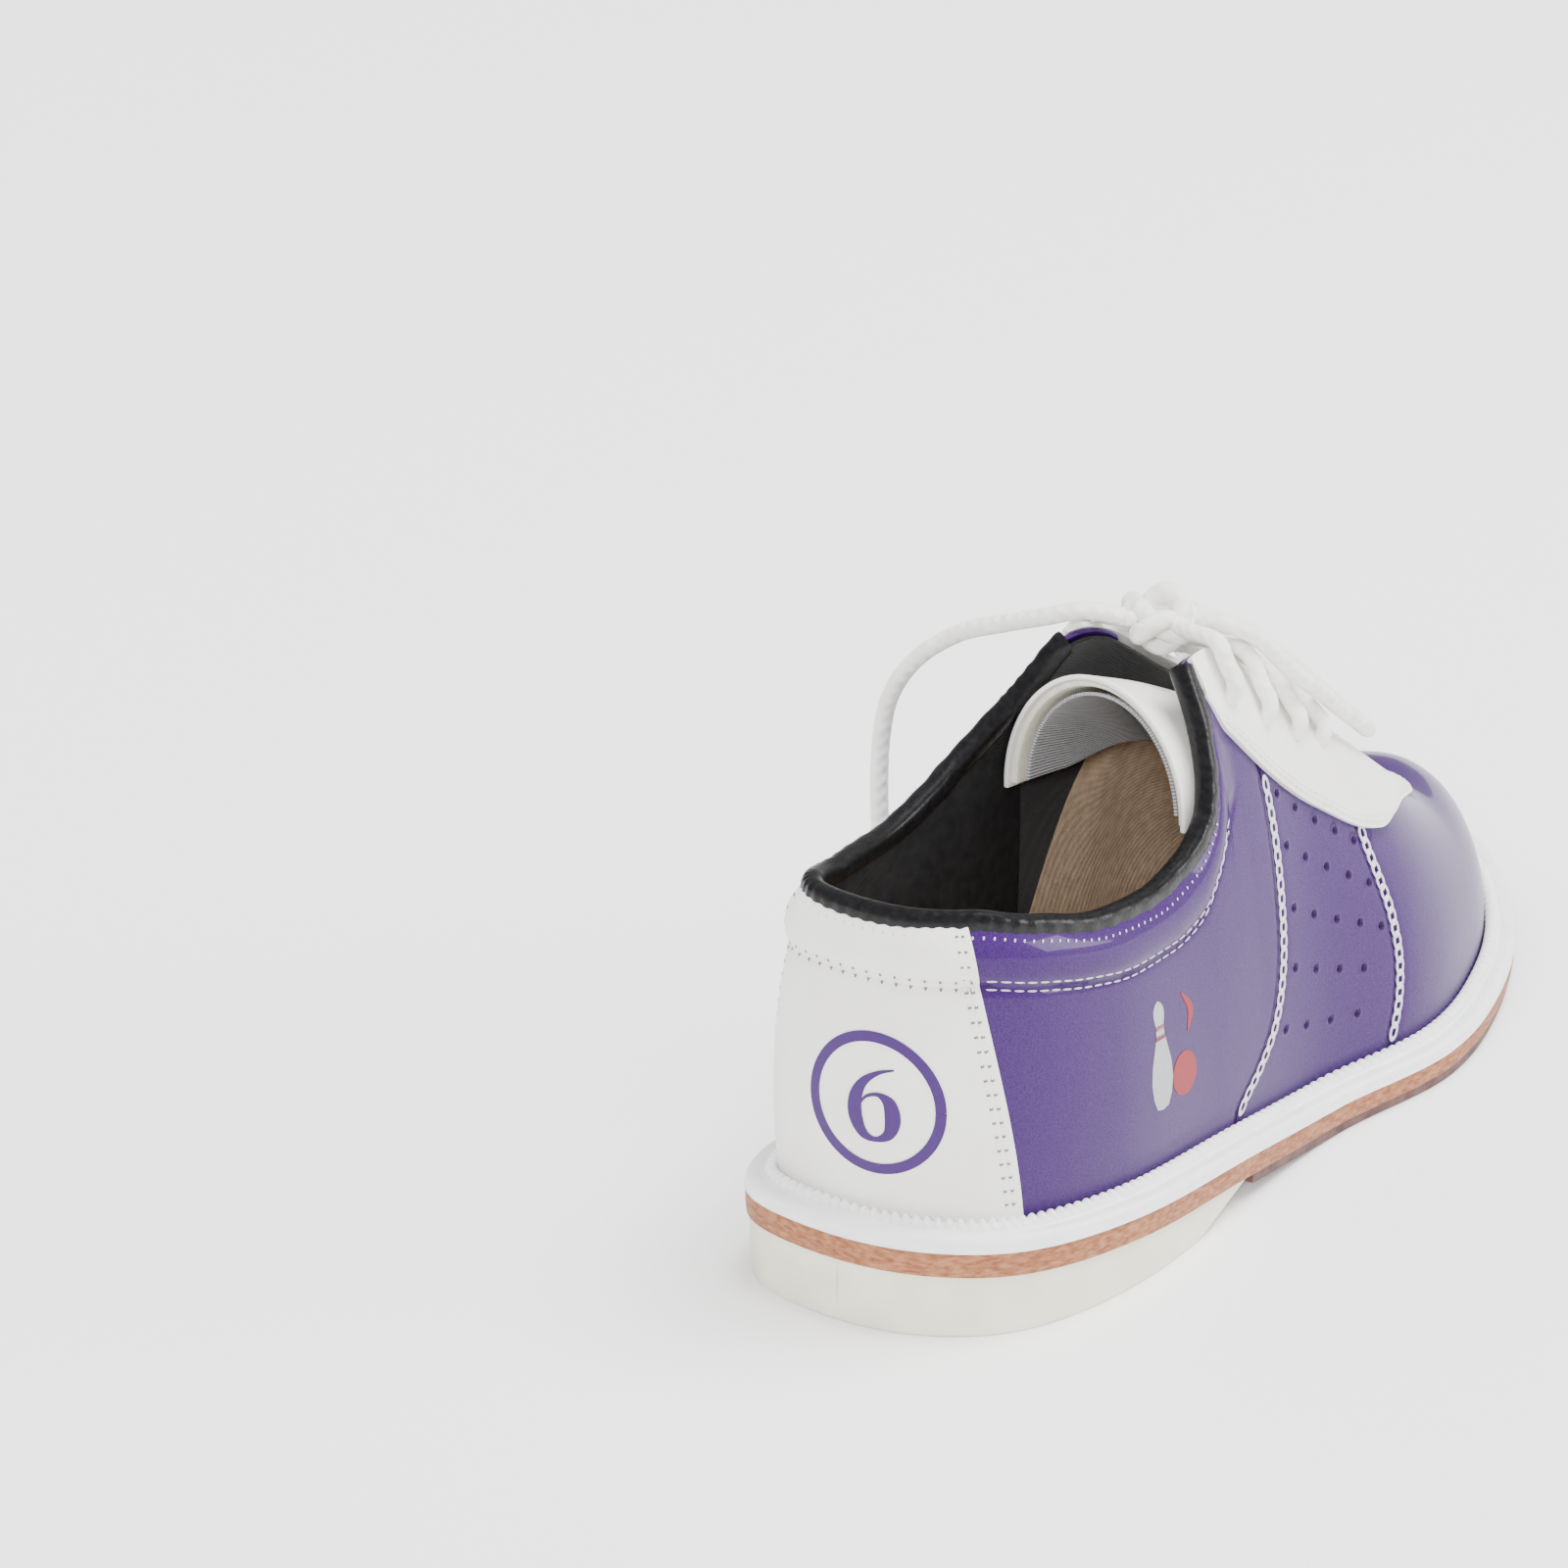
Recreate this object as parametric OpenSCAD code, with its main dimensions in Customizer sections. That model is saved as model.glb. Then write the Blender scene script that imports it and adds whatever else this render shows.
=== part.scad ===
// Bowling shoe, right foot: welted sole with a heel block, a five-panel upper,
// a hinged tongue and a tied lace.
// Frame: +Y towards the toe, +X towards the outer side, +Z up, floor at Z = 0.
// A place on the upper is given by u, a station round the sole's outline, and th,
// the height angle: 0 at the welt, 90 on the ridge of the shoe.

/* [Sole] */
// Thickness of the midsole at the heel
midsole_heel = 5.6; // [4:0.1:7]
// Thickness of the midsole at the toe
midsole_toe = 2.9; // [2:0.1:4]
// Thickness of the sliding sole under the forefoot
slide_t = 2.7; // [2:0.1:3.5]
// Height of the welt at its outer edge
welt_edge = 3.6; // [3:0.1:4.5]
// Height of the bead on the welt's inner edge
welt_bead = 5.9; // [5:0.1:6.5]
// How far the heel block stands in from the sole's edge
heel_inset = 1.2; // [0.5:0.1:2]
// Station of the heel block's front edge at the floor
breast_low = 3.55; // [3.3:0.05:3.7]
// Station of the heel block's front edge under the midsole
breast_high = 4.05; // [3.8:0.05:4.1]

/* [Upper] */
// Distance from the sole's edge to the upper
feather = 7.5; // [6.5:0.1:8.5]
// Thickness of the outer leather
leather_t = 1.2; // [0.8:0.1:1.5]
// Thickness of the linings
lining_t = 0.9; // [0.6:0.1:1.2]
// Thickness of the stiffeners and the collar foam
stiffener_t = 0.6; // [0.5:0.1:0.7]
// Thickness of the white lace apron
apron_t = 1.4; // [1:0.1:2]
// Radius of the edge binding round the foot opening
binding_r = 1.9; // [1.5:0.1:2.2]
// Clearance between sewn panels
seam_gap = 0.25; // [0.15:0.05:0.4]

/* [Tongue] */
// Thickness of the tongue's leather
tongue_leather = 1.2; // [0.8:0.1:1.6]
// Thickness of the tongue's foam
tongue_foam_t = 2.2; // [1.5:0.1:3]
// Thickness of the tongue's lining
tongue_lining_t = 0.8; // [0.5:0.1:1.2]

/* [Lace] */
// Diameter of the braided lace
lace_d = 5; // [4:0.1:5.4]
// Diameter of the aglets
aglet_d = 4.4; // [3.6:0.1:4.8]
// Length of the aglets
aglet_l = 20; // [15:1:24]

/* [Hidden] */

// Outline of the sole from the heel round the outer side, the toe and the inner side
plan = [
    [0, -134], [22, -128], [38, -112], [46, -82], [46, -40], [46, 0], [53, 40], [48, 74],
    [36, 103], [15, 128], [-7, 137.5], [-29, 128.5], [-46, 104], [-50, 74], [-47, 40],
    [-40, 0], [-35, -40], [-37, -82], [-35, -114], [-25, -130]
];
stations = len(plan);
toe = stations / 2;
// Each pair below is a place along the shoe and a value there
sole_top = [[-137, 21], [-90, 17.2], [-40, 11.6], [0, 7], [25, 6.5], [50, 6.7], [95, 9.6], [138, 16]];
spine_x = [[-137, 2], [-100, 2], [-40, 5], [0, 5], [40, 3], [85, 0], [138, -4]];
ridge_z = [[-100, 132], [-60, 132], [-20, 128], [10, 106], [40, 82], [85, 49]];
fullness = [[-100, 1.3], [-60, 1.3], [-20, 1], [40, 0.8], [85, 0.85]];
spine_heel = -100;
spine_toe = 85;
spine_soft = 14;
heel_bulge = 2;
// Each pair below is a station, counted from the heel, and a height angle there
edge_lateral = [
    [0, 38.5], [1.5, 38.4], [2.4, 36], [3, 33.4], [3.5, 32.8], [3.85, 34.6], [4.15, 39.3],
    [4.25, 44], [4.32, 52], [4.38, 66], [4.6, 69], [5, 73], [5.5, 79], [5.9, 84], [6.1, 91]
];
edge_medial = [
    [0, 38.5], [1.5, 38.6], [2.4, 37.3], [3, 37], [3.5, 40.2], [3.85, 45.2], [4.15, 52],
    [4.28, 58], [4.38, 66], [4.6, 69], [5, 73], [5.5, 79], [5.9, 84], [6.1, 91]
];
// How far the inner side of the opening leans out past the rest of the upper
flare = [[2.4, 0], [3.3, 5.5], [3.9, 8], [4.3, 6], [4.6, 3.5], [5.2, 0]];
flare_foot = 12;
flare_top = 42;
apron_low = [
    [4.4, 60], [4.51, 51.5], [4.85, 45], [5.25, 42.3], [5.56, 40.9], [5.76, 41.9],
    [6.03, 46.8], [6.37, 53.2], [7, 61], [7.6, 69], [8, 79], [8.3, 90]
];
// Each pair below is a height angle and the station of a seam there
heel_seam = [[-6, 2.02], [0, 1.98], [38, 1.46], [60, 1.3]];
rear_seam = [[-6, 4.16], [0, 4.2], [5, 4.45], [9, 4.61], [14, 4.7], [20, 4.75], [40, 4.79], [91, 4.8]];
front_seam = [
    [-6, 5.62], [0, 5.65], [8, 5.72], [15, 5.74], [24, 5.71], [31, 5.65], [40, 5.59], [50, 5.62],
    [70, 5.9], [91, 6.12]
];

// Depths of the layers under the outer face of the upper
layer_gap = 0.25;
puff_top = -leather_t - layer_gap;
puff_low = puff_top - stiffener_t;
lining_top = puff_low - layer_gap;
lining_low = lining_top - lining_t;
bury = 4.4;

// Smooth curve through the pairs in k, without overshoot
function place(k, x, i = 0) = i >= len(k) - 2 || x < k[i + 1][0] ? i : place(k, x, i + 1);
function rise(k, i) = (k[i + 1][1] - k[i][1]) / (k[i + 1][0] - k[i][0]);
function slope(k, i) =
    i == 0 ? rise(k, 0) :
    i == len(k) - 1 ? rise(k, i - 1) :
    rise(k, i - 1) * rise(k, i) <= 0 ? 0 :
    2 * rise(k, i - 1) * rise(k, i) / (rise(k, i - 1) + rise(k, i));
function smooth(k, x) =
    let (xc = min(max(x, k[0][0]), k[len(k) - 1][0]), i = place(k, xc),
         w = k[i + 1][0] - k[i][0], t = (xc - k[i][0]) / w)
    (2 * t ^ 3 - 3 * t ^ 2 + 1) * k[i][1] + (t ^ 3 - 2 * t ^ 2 + t) * w * slope(k, i)
    + (3 * t ^ 2 - 2 * t ^ 3) * k[i + 1][1] + (t ^ 3 - t ^ 2) * w * slope(k, i + 1);
function mix(a, b, t) = a + (b - a) * t;
function soft_min(a, b) = (a + b - sqrt((a - b) ^ 2 + spine_soft ^ 2)) / 2;
function soft_max(a, b) = (a + b + sqrt((a - b) ^ 2 + spine_soft ^ 2)) / 2;
function unit(v) = v / norm(v);

// Outline of the sole at station u, moved in by the given distance
function wrap(i) = i - stations * floor(i / stations);
function rim(u) =
    let (i = floor(u), t = u - i, a = plan[wrap(i - 1)], b = plan[wrap(i)],
         c = plan[wrap(i + 1)], d = plan[wrap(i + 2)])
    (2 * b + (c - a) * t + (2 * a - 5 * b + 4 * c - d) * t ^ 2 + (3 * b - a - 3 * c + d) * t ^ 3) / 2;
function outward(u) = let (d = rim(u + 0.02) - rim(u - 0.02)) unit([d[1], -d[0]]);
function rim_in(u, inset) = rim(u) - outward(u) * inset;

function top_of_sole(y) = smooth(sole_top, y);
function midsole_t(y) = mix(midsole_heel, midsole_toe, (y + 137) / 275);
function foot_z(y) = top_of_sole(y) + welt_bead;

function from_heel(u) = let (v = wrap(u)) min(v, stations - v);
function is_lateral(u) = wrap(u) <= toe;
function flare_at(u) = is_lateral(u) ? 0 : smooth(flare, from_heel(u));

// Point of the upper's outer face at station u and height angle th
function last(u, th) =
    let (b = rim_in(u, feather),
         cy = soft_max(soft_min(b[1], spine_toe), spine_heel),
         c = [smooth(spine_x, cy), cy], z0 = foot_z(b[1]), h = smooth(ridge_z, cy),
         p = smooth(fullness, cy), w = sign(cos(th)) * abs(cos(th)) ^ p,
         puff = heel_bulge * min(max(-(cy + 20) / 80, 0), 1) * max(sin(180 * sin(th)), 0),
         rest = flare_at(u) * min(max((th - flare_foot) / (flare_top - flare_foot), 0), 1) ^ 2,
         q = c + (b - c) * w + outward(u) * (puff + rest))
    [q[0], q[1], z0 + (h - z0) * sin(th)];
function skin(u, th, off = 0) =
    let (e = 0.5, a = last(u + 0.04, min(th, 90 - e)) - last(u - 0.04, min(th, 90 - e)),
         b = last(u, min(th, 90 - e) + e) - last(u, min(th, 90 - e) - e))
    last(u, th) + off * unit(cross(a, b));
// Height angle that lies a given drop under the welt bead
function foot(u, drop = bury) =
    let (y = rim(u)[1], z0 = foot_z(y)) -asin(drop / (smooth(ridge_z, y) - z0));

function edge(u) = smooth(is_lateral(u) ? edge_lateral : edge_medial, from_heel(u));

function spread(a, b, n) = [for (i = [0:n]) mix(a, b, i / n)];
// Columns bunched where the foot opening's edge climbs to the lacing
steep = [4.1, 4.2, 4.28, 4.34, 4.4];

// Closed solid over a grid of points: outer face and inner face are lists of rows
module shell(outer, inner) {
    n = len(outer);
    m = len(outer[0]);
    at = function(i, j) i * m + j;
    points = [each for (r = outer) r, each for (r = inner) r];
    s = n * m;
    faces = [
        for (i = [0:n - 2], j = [0:m - 2]) each [
            [at(i, j), at(i, j + 1), at(i + 1, j)],
            [at(i + 1, j), at(i, j + 1), at(i + 1, j + 1)],
            [s + at(i, j), s + at(i + 1, j), s + at(i, j + 1)],
            [s + at(i + 1, j), s + at(i + 1, j + 1), s + at(i, j + 1)]
        ],
        for (i = [0:n - 2]) each [
            [at(i, 0), at(i + 1, 0), s + at(i, 0)],
            [s + at(i, 0), at(i + 1, 0), s + at(i + 1, 0)],
            [at(i, m - 1), s + at(i, m - 1), at(i + 1, m - 1)],
            [s + at(i, m - 1), s + at(i + 1, m - 1), at(i + 1, m - 1)]
        ],
        for (j = [0:m - 2]) each [
            [at(0, j), s + at(0, j), at(0, j + 1)],
            [s + at(0, j), s + at(0, j + 1), at(0, j + 1)],
            [at(n - 1, j), at(n - 1, j + 1), s + at(n - 1, j)],
            [s + at(n - 1, j), at(n - 1, j + 1), s + at(n - 1, j + 1)]
        ]
    ];
    polyhedron(points, faces);
}

// Panel of the upper between two seams. Its columns are shares from one seam to the other.
module panel(from, to, low, high, deep, shallow, columns, rows) {
    grid = function(off) [
        for (s = columns)
            let (ut = mix(from(40), to(40), s), top = high(ut))
            [for (r = spread(0, 1, rows))
                let (ub = mix(from(0), to(0), s), th = mix(low(ub), top, r))
                skin(mix(from(th), to(th), s), th, off)]
    ];
    shell(grid(shallow), grid(deep));
}

// Closed tube round a path of points
module tube(path, r, sides = 8) {
    n = len(path);
    dir = [for (i = [0:n - 1]) unit(path[min(i + 1, n - 1)] - path[max(i - 1, 0)])];
    across = function(d) unit(cross(d, abs(d[2]) > 0.9 ? [1, 0, 0] : [0, 0, 1]));
    points = [
        for (i = [0:n - 1], k = [0:sides - 1])
            let (a = across(dir[i]), b = cross(dir[i], a))
            path[i] + r * (cos(360 * k / sides) * a + sin(360 * k / sides) * b)
    ];
    faces = [
        [for (k = [0:sides - 1]) k],
        for (i = [0:n - 2], k = [0:sides - 1])
            let (k2 = (k + 1) % sides)
            each [
                [i * sides + k, (i + 1) * sides + k, i * sides + k2],
                [(i + 1) * sides + k, (i + 1) * sides + k2, i * sides + k2]
            ],
        [for (k = [sides - 1:-1:0]) (n - 1) * sides + k]
    ];
    polyhedron(points, faces);
}

// Smooth path through hand-set points, n steps between neighbours
function route(p, n) =
    let (m = len(p), q = function(i) p[min(max(i, 0), m - 1)])
    [for (i = [0:m - 2], s = [0:n - 1])
        let (t = s / n, a = q(i - 1), b = q(i), c = q(i + 1), d = q(i + 2))
        (2 * b + (c - a) * t + (2 * a - 5 * b + 4 * c - d) * t ^ 2 + (3 * b - a - 3 * c + d) * t ^ 3) / 2,
     p[m - 1]];

// Slab that follows the sole between stations, from the outer side to the inner side
module slab(first, final, steps, inset, low, high, ribs = 4, final_low = undef) {
    column = function(u, z) [
        for (k = [0:ribs])
            let (a = rim_in(u, inset), b = rim_in(stations - u, inset), q = mix(a, b, k / ribs))
            [q[0], q[1], z(q[1])]
    ];
    under = is_undef(final_low) ? final : final_low;
    shell([for (u = spread(first, final, steps)) column(u, high)],
          [for (u = spread(first, under, steps)) column(u, low)]);
}
end_u = 0.06;

// Puts the middle of the shoe's footprint over the origin
centre_x = -1.5;
centre_y = -1.75;
module centred() translate([centre_x, centre_y, 0]) children();

module heel_block() {
    color("#e4e3da")
    slab(end_u, breast_high, 26, heel_inset, function(y) 0,
         function(y) top_of_sole(y) - midsole_t(y) - 0.05, final_low = breast_low);
}

module slide_sole() {
    color("#4a2a26")
    slab(breast_high + 0.02, toe - end_u, 28, 0.8,
         function(y) max(top_of_sole(y) - midsole_t(y) - slide_t, 0),
         function(y) top_of_sole(y) - midsole_t(y) - 0.05);
}

module midsole() {
    color("#d7a582")
    slab(end_u, toe - end_u, 40, 0, function(y) top_of_sole(y) - midsole_t(y),
         function(y) top_of_sole(y));
}

// Ring round the sole, from hand-set pairs of inset and height over the sole
module sole_ring(section, steps) {
    m = len(section);
    points = [
        for (i = [0:steps - 1], s = section)
            let (q = rim_in(i * stations / steps, s[0]))
            [q[0], q[1], top_of_sole(rim(i * stations / steps)[1]) + s[1]]
    ];
    faces = [
        for (i = [0:steps - 1], k = [0:m - 1])
            let (i2 = (i + 1) % steps, k2 = (k + 1) % m)
            each [
                [i * m + k, i * m + k2, i2 * m + k],
                [i2 * m + k, i * m + k2, i2 * m + k2]
            ]
    ];
    polyhedron(points, faces);
}

module welt() {
    inner = feather - 0.2;
    color("#f0f0ee")
    sole_ring([[0, 0.15], [0, welt_edge], [3.8, welt_edge + 0.3], [4.6, welt_bead - 0.6],
               [5.8, welt_bead], [inner, welt_bead - 0.8], [inner, 0.15]], 80);
}

module insole_board() {
    color("#96785f")
    slab(0.2, toe - 0.2, 26, feather - lining_low + 0.4, function(y) top_of_sole(y) + 1.7,
         function(y) top_of_sole(y) + 4.2);
}

module cork_filler() {
    color("#b08a60")
    slab(5.4, toe - 0.6, 20, 16, function(y) top_of_sole(y) + 0.2,
         function(y) top_of_sole(y) + 1.5);
}

module shank() {
    color("#8c9096")
    shell([for (y = spread(-92, 0, 12)) [[-5, y, top_of_sole(y) + 1.5], [7, y, top_of_sole(y) + 1.5]]],
          [for (y = spread(-92, 0, 12)) [[-5, y, top_of_sole(y) + 0.2], [7, y, top_of_sole(y) + 0.2]]]);
}

// Seams as stations, with the half gap that keeps panels apart
gap_u = seam_gap / 30;
lateral_heel = function(th) smooth(heel_seam, th);
medial_heel = function(th) -smooth(heel_seam, th);
floor_th = function(u) foot(u);
edge_th = function(u) min(edge(u), 89);
lining_edge = function(u) min(edge(u), 89.9);

module heel_panel() {
    color("#ecebe6")
    panel(function(th) medial_heel(th) + gap_u, function(th) lateral_heel(th) - gap_u,
          floor_th, edge_th, -leather_t, 0, spread(0, 1, 16), 9);
}

quarter_columns = [
    each spread(0, 0.76, 9), each [for (u = steep) (u - 1.46) / (4.79 - 1.46)],
    each spread(0.92, 1, 3)
];
module quarter_lateral() {
    color("#6c559c")
    panel(function(th) lateral_heel(th) + gap_u, function(th) smooth(rear_seam, th) - gap_u,
          floor_th, edge_th, -leather_t, 0, quarter_columns, 9);
}

module quarter_medial() {
    color("#6c559c")
    panel(function(th) gap_u - smooth(rear_seam, th), function(th) medial_heel(th) - gap_u,
          floor_th, edge_th, -leather_t, 0,
          [for (i = [len(quarter_columns) - 1:-1:0]) 1 - quarter_columns[i]], 9);
}

module side_panel_lateral() {
    color("#75619f")
    panel(function(th) smooth(rear_seam, th) + gap_u, function(th) smooth(front_seam, th) - gap_u,
          floor_th, edge_th, -leather_t, 0, spread(0, 1, 6), 11);
}

module side_panel_medial() {
    color("#75619f")
    panel(function(th) gap_u - smooth(front_seam, th), function(th) -smooth(rear_seam, th) - gap_u,
          floor_th, edge_th, -leather_t, 0, spread(0, 1, 6), 11);
}

// Cap over the toe, in bands from the outer side over the ridge to the inner side
toe_end = 0.005;
module toe_cap(from, low, deep, shallow, columns, rows) {
    grid = function(off) [
        for (s = spread(0, 1, columns))
            let (side = function(m, r)
                    let (u = mix(from(0), toe - toe_end, s), v = m > 0 ? u : stations - u,
                         th = mix(low(v), 90, r), w = mix(from(th), toe - toe_end, s))
                    skin(m > 0 ? w : stations - w, th, off))
            [for (r = spread(0, 1, rows)) if (r < 1) side(1, r),
             (side(1, 1) + side(-1, 1)) / 2,
             for (r = spread(1, 0, rows)) if (r < 1) side(-1, r)]
    ];
    shell(grid(shallow), grid(deep));
}

module vamp() {
    color("#7a66a4")
    toe_cap(function(th) smooth(front_seam, th) + gap_u, floor_th, -leather_t, 0, 13, 9);
}

apron_start = 4.42;
apron_end = 8.24;
apron_gap = 0.35;
module apron_side() {
    panel(function(th) apron_start, function(th) apron_end,
          function(u) smooth(apron_low, u), function(u) max(edge(u), smooth(apron_low, u) + 1),
          apron_gap, apron_gap + apron_t, spread(0, 1, 18), 7);
}

module apron_other_side() {
    panel(function(th) stations - apron_end, function(th) stations - apron_start,
          function(u) smooth(apron_low, stations - u),
          function(u) max(edge(u), smooth(apron_low, stations - u) + 1),
          apron_gap, apron_gap + apron_t, spread(0, 1, 18), 7);
}

module lace_apron() {
    color("#efeeea") {
        apron_side();
        apron_other_side();
    }
}

// The binding lies on the edge of the opening, square to it and to the leather
function binding_at(u) =
    let (mid = lining_low / 2, a = skin(u, edge(u), mid),
         ahead = skin(u + 0.03, edge(u + 0.03), mid) - skin(u - 0.03, edge(u - 0.03), mid),
         out = skin(u, edge(u), 1) - skin(u, edge(u), 0))
    a + unit(cross(out, ahead)) * (binding_r + layer_gap);
module topline_binding() {
    rows = [-4.38, -4.33, -4.28, each spread(-4.2, 4.2, 32), 4.28, 4.33, 4.38];
    color("#222226") tube([for (u = rows) binding_at(u)], binding_r, 8);
}

// The linings and stiffeners share their columns, one every lining_step stations
lining_step = 0.265;
module collar_foam() {
    color("#c9c6a8")
    panel(function(th) -9 * lining_step, function(th) 9 * lining_step,
          function(u) edge(u) - 9.5, function(u) edge(u) - 1.5, puff_low, puff_top, spread(0, 1, 18), 2);
}

module heel_counter() {
    color("#cdb99a")
    panel(function(th) -10 * lining_step, function(th) 10 * lining_step, floor_th,
          function(u) edge(u) - 10.2, puff_low, puff_top, spread(0, 1, 20), 5);
}

module toe_puff() {
    color("#d8cdb4")
    panel(function(th) 7.6, function(th) stations - 7.6, floor_th, function(u) 52,
          puff_low, puff_top, spread(0, 1, 18), 5);
}

module quarter_lining() {
    color("#2a2a2e")
    panel(function(th) -16 * lining_step, function(th) 16 * lining_step, floor_th, edge_th,
          lining_low, lining_top, spread(0, 1, 32), 7);
}

// Two halves that stop just short of the ridge and of the toe's centre line
module vamp_lining() {
    color("#a08a72") {
        panel(function(th) 4.28, function(th) toe - gap_u, floor_th, lining_edge,
              lining_low, lining_top, spread(0, 1, 16), 8);
        panel(function(th) toe + gap_u, function(th) stations - 4.28, floor_th, lining_edge,
              lining_low, lining_top, spread(0, 1, 16), 8);
    }
}

// The tongue is an arched flap. s runs from its sewn root to its free end.
tongue_x = [[0, 3], [0.5, 3.5], [1, 1.8]];
tongue_y = [[0, 44], [0.5, 3], [1, -36]];
tongue_z = [[0, 72.5], [0.25, 86], [0.5, 97.5], [0.75, 107.5], [1, 115.5]];
tongue_half = [[0, 13], [0.25, 17], [0.5, 20.5], [1, 22.8]];
tongue_drop = [[0, 8], [0.5, 18], [1, 30]];
tongue_spread = [[0, 62], [0.5, 75], [0.8, 92], [1, 92]];
function tongue_at(s, a, d) =
    let (f = smooth(tongue_spread, s) * a, half = smooth(tongue_half, s) - d,
         drop = smooth(tongue_drop, s) - d)
    [smooth(tongue_x, s) + half * sin(f), smooth(tongue_y, s),
     smooth(tongue_z, s) - d - drop * (1 - cos(f))];
module tongue_layer(from, to, rows = 9, columns = 12) {
    grid = function(d) [
        for (s = spread(0, 1, rows)) [for (a = spread(1, -1, columns)) tongue_at(s, a, d)]
    ];
    shell(grid(from), grid(to));
}

module tongue_cover() {
    color("#f1f0ec") tongue_layer(0, tongue_leather);
}

module tongue_foam() {
    color("#e3e0d4") tongue_layer(tongue_leather + 0.05, tongue_leather + tongue_foam_t);
}

module tongue_lining() {
    start = tongue_leather + tongue_foam_t + 0.05;
    color("#a6a6aa") tongue_layer(start, start + tongue_lining_t);
}

// Thread rows stand on the leather along a seam
thread_r = 0.55;
thread_lift = 0.62;
module seam_thread(seam, top, side) {
    tube([for (th = spread(0.5, top, 12)) skin(side * smooth(seam, th), th, thread_lift)], thread_r, 6);
}

module rear_chain_stitch() {
    color("#f2f0f4") {
        seam_thread(rear_seam, 42, 1);
        seam_thread(rear_seam, 42, -1);
    }
}

module front_chain_stitch() {
    color("#f2f0f4") {
        seam_thread(front_seam, 39, 1);
        seam_thread(front_seam, 39, -1);
    }
}

collar_row = [
    [0, 29.8], [1.57, 29.6], [2.3, 28], [2.83, 26.2], [3.28, 25.1], [3.63, 25.2], [3.91, 26.7],
    [4.17, 31.7], [4.31, 36.2], [4.5, 42.6]
];
collar_lift = 0.4;
module collar_stitch() {
    color("#e9e6f0")
    for (lift = [-0.5, 0.5])
        tube([for (u = spread(-4.4, 4.4, 34))
            skin(u, smooth(collar_row, abs(u)) + lift, collar_lift)], thread_r * 0.6, 5);
}

module heel_seam_stitch() {
    color("#e6e4de")
    for (side = [-1, 1], back = [0.09, 0.16])
        tube([for (th = spread(0.5, 27.5, 9))
            skin(side * (smooth(heel_seam, th) - back), th, thread_lift * 0.6)], thread_r * 0.6, 5);
}

// Lace: places set by hand
eyelet_u = [4.62, 4.93, 5.22, 5.48];
eyelet_th = [57, 56, 57.5, 60];
lace_r = lace_d / 2;
knot_at = [2, -8, 121];
knot_r = 7.6;
knot_flat = 0.48;
lace_lie = apron_gap + apron_t + lace_r + 0.15;
// Places of the lace on one side, from beside an eyelet up to the edge of the throat
function lace_side(i, side) =
    let (u = side > 0 ? eyelet_u[i] : stations - eyelet_u[i])
    [skin(u, eyelet_th[i], lace_lie), skin(u, eyelet_th[i] + 7, lace_lie), skin(u, edge(u), lace_lie + 0.3)];
module crossing(i) {
    a = lace_side(i, 1);
    b = lace_side(i, -1);
    tube(route([each a, (a[2] + b[2]) / 2 + [0, 0, 0.8], b[2], b[1], b[0]], 3), lace_r - 0.2, 8);
}
// The top pair of eyelets leads up to the knot
knot_side = 6.5;
module lead(side) {
    a = lace_side(0, side);
    b = knot_at + [knot_side * side, -1.5, 0];
    tube(route([each a, mix(a[2], b, 0.5) + [0, 0, 1.2], b], 3), lace_r - 0.2, 8);
}
module lace_crossings() {
    color("#f4f3ef") {
        for (i = [1:3]) crossing(i);
        lead(1);
        lead(-1);
    }
}

module lace_knot() {
    color("#f4f3ef")
    translate(knot_at) scale([1, 1, knot_flat]) sphere(r = knot_r, $fn = 18);
}

loop_lateral_route = [
    [5.8, -1, 121.5], [12, 9, 115.5], [16.5, 20, 106.5], [18.5, 31, 96.5], [18.5, 41, 88.5],
    [19.5, 48.5, 82], [22.8, 49.5, 79.5], [25, 42.5, 84], [26, 32, 91], [26.5, 21, 99.3],
    [26, 10, 107.5], [20.5, 0, 119], [9.5, -5, 122]
];
loop_medial_route = [
    [-4, -2.5, 121.5], [-7.5, 9, 117], [-13, 21, 108], [-18, 34, 96], [-22, 46, 85],
    [-26, 55, 76.5], [-29.5, 51, 76], [-28, 38, 86], [-24, 25, 98], [-19, 14, 110],
    [-13.5, 4, 118.5], [-6, -6.5, 122.5]
];
end_rear_route = [
    [-4, -14, 122.5], [-11.5, -19, 124], [-21, -20.5, 121], [-33, -19.5, 116.5], [-46, -18, 111],
    [-57, -19, 103], [-64, -20, 93], [-67, -20, 82], [-68, -20, 70], [-68, -20, 58]
];
end_front_route = [
    [0.6, 0, 121.5], [-1, 12, 115.5], [-3, 24, 107], [-6, 36, 96.5], [-9, 48, 86.5],
    [-13, 60, 76], [-18, 72, 67], [-23, 82, 59]
];
module lace_tube(points) {
    color("#f4f3ef") tube(route(points, 2), lace_r, 8);
}
module aglet_on(points) {
    n = len(points);
    d = unit(points[n - 1] - points[n - 2]);
    color("#f8f8f8") tube([points[n - 1], points[n - 1] + d * aglet_l], aglet_d / 2, 12);
}

module lace_loop_lateral() lace_tube(loop_lateral_route);
module lace_loop_medial() lace_tube(loop_medial_route);
module lace_end_rear() lace_tube(end_rear_route);
module lace_end_front() lace_tube(end_front_route);
module aglet_rear() aglet_on(end_rear_route);
module aglet_front() aglet_on(end_front_route);

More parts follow.
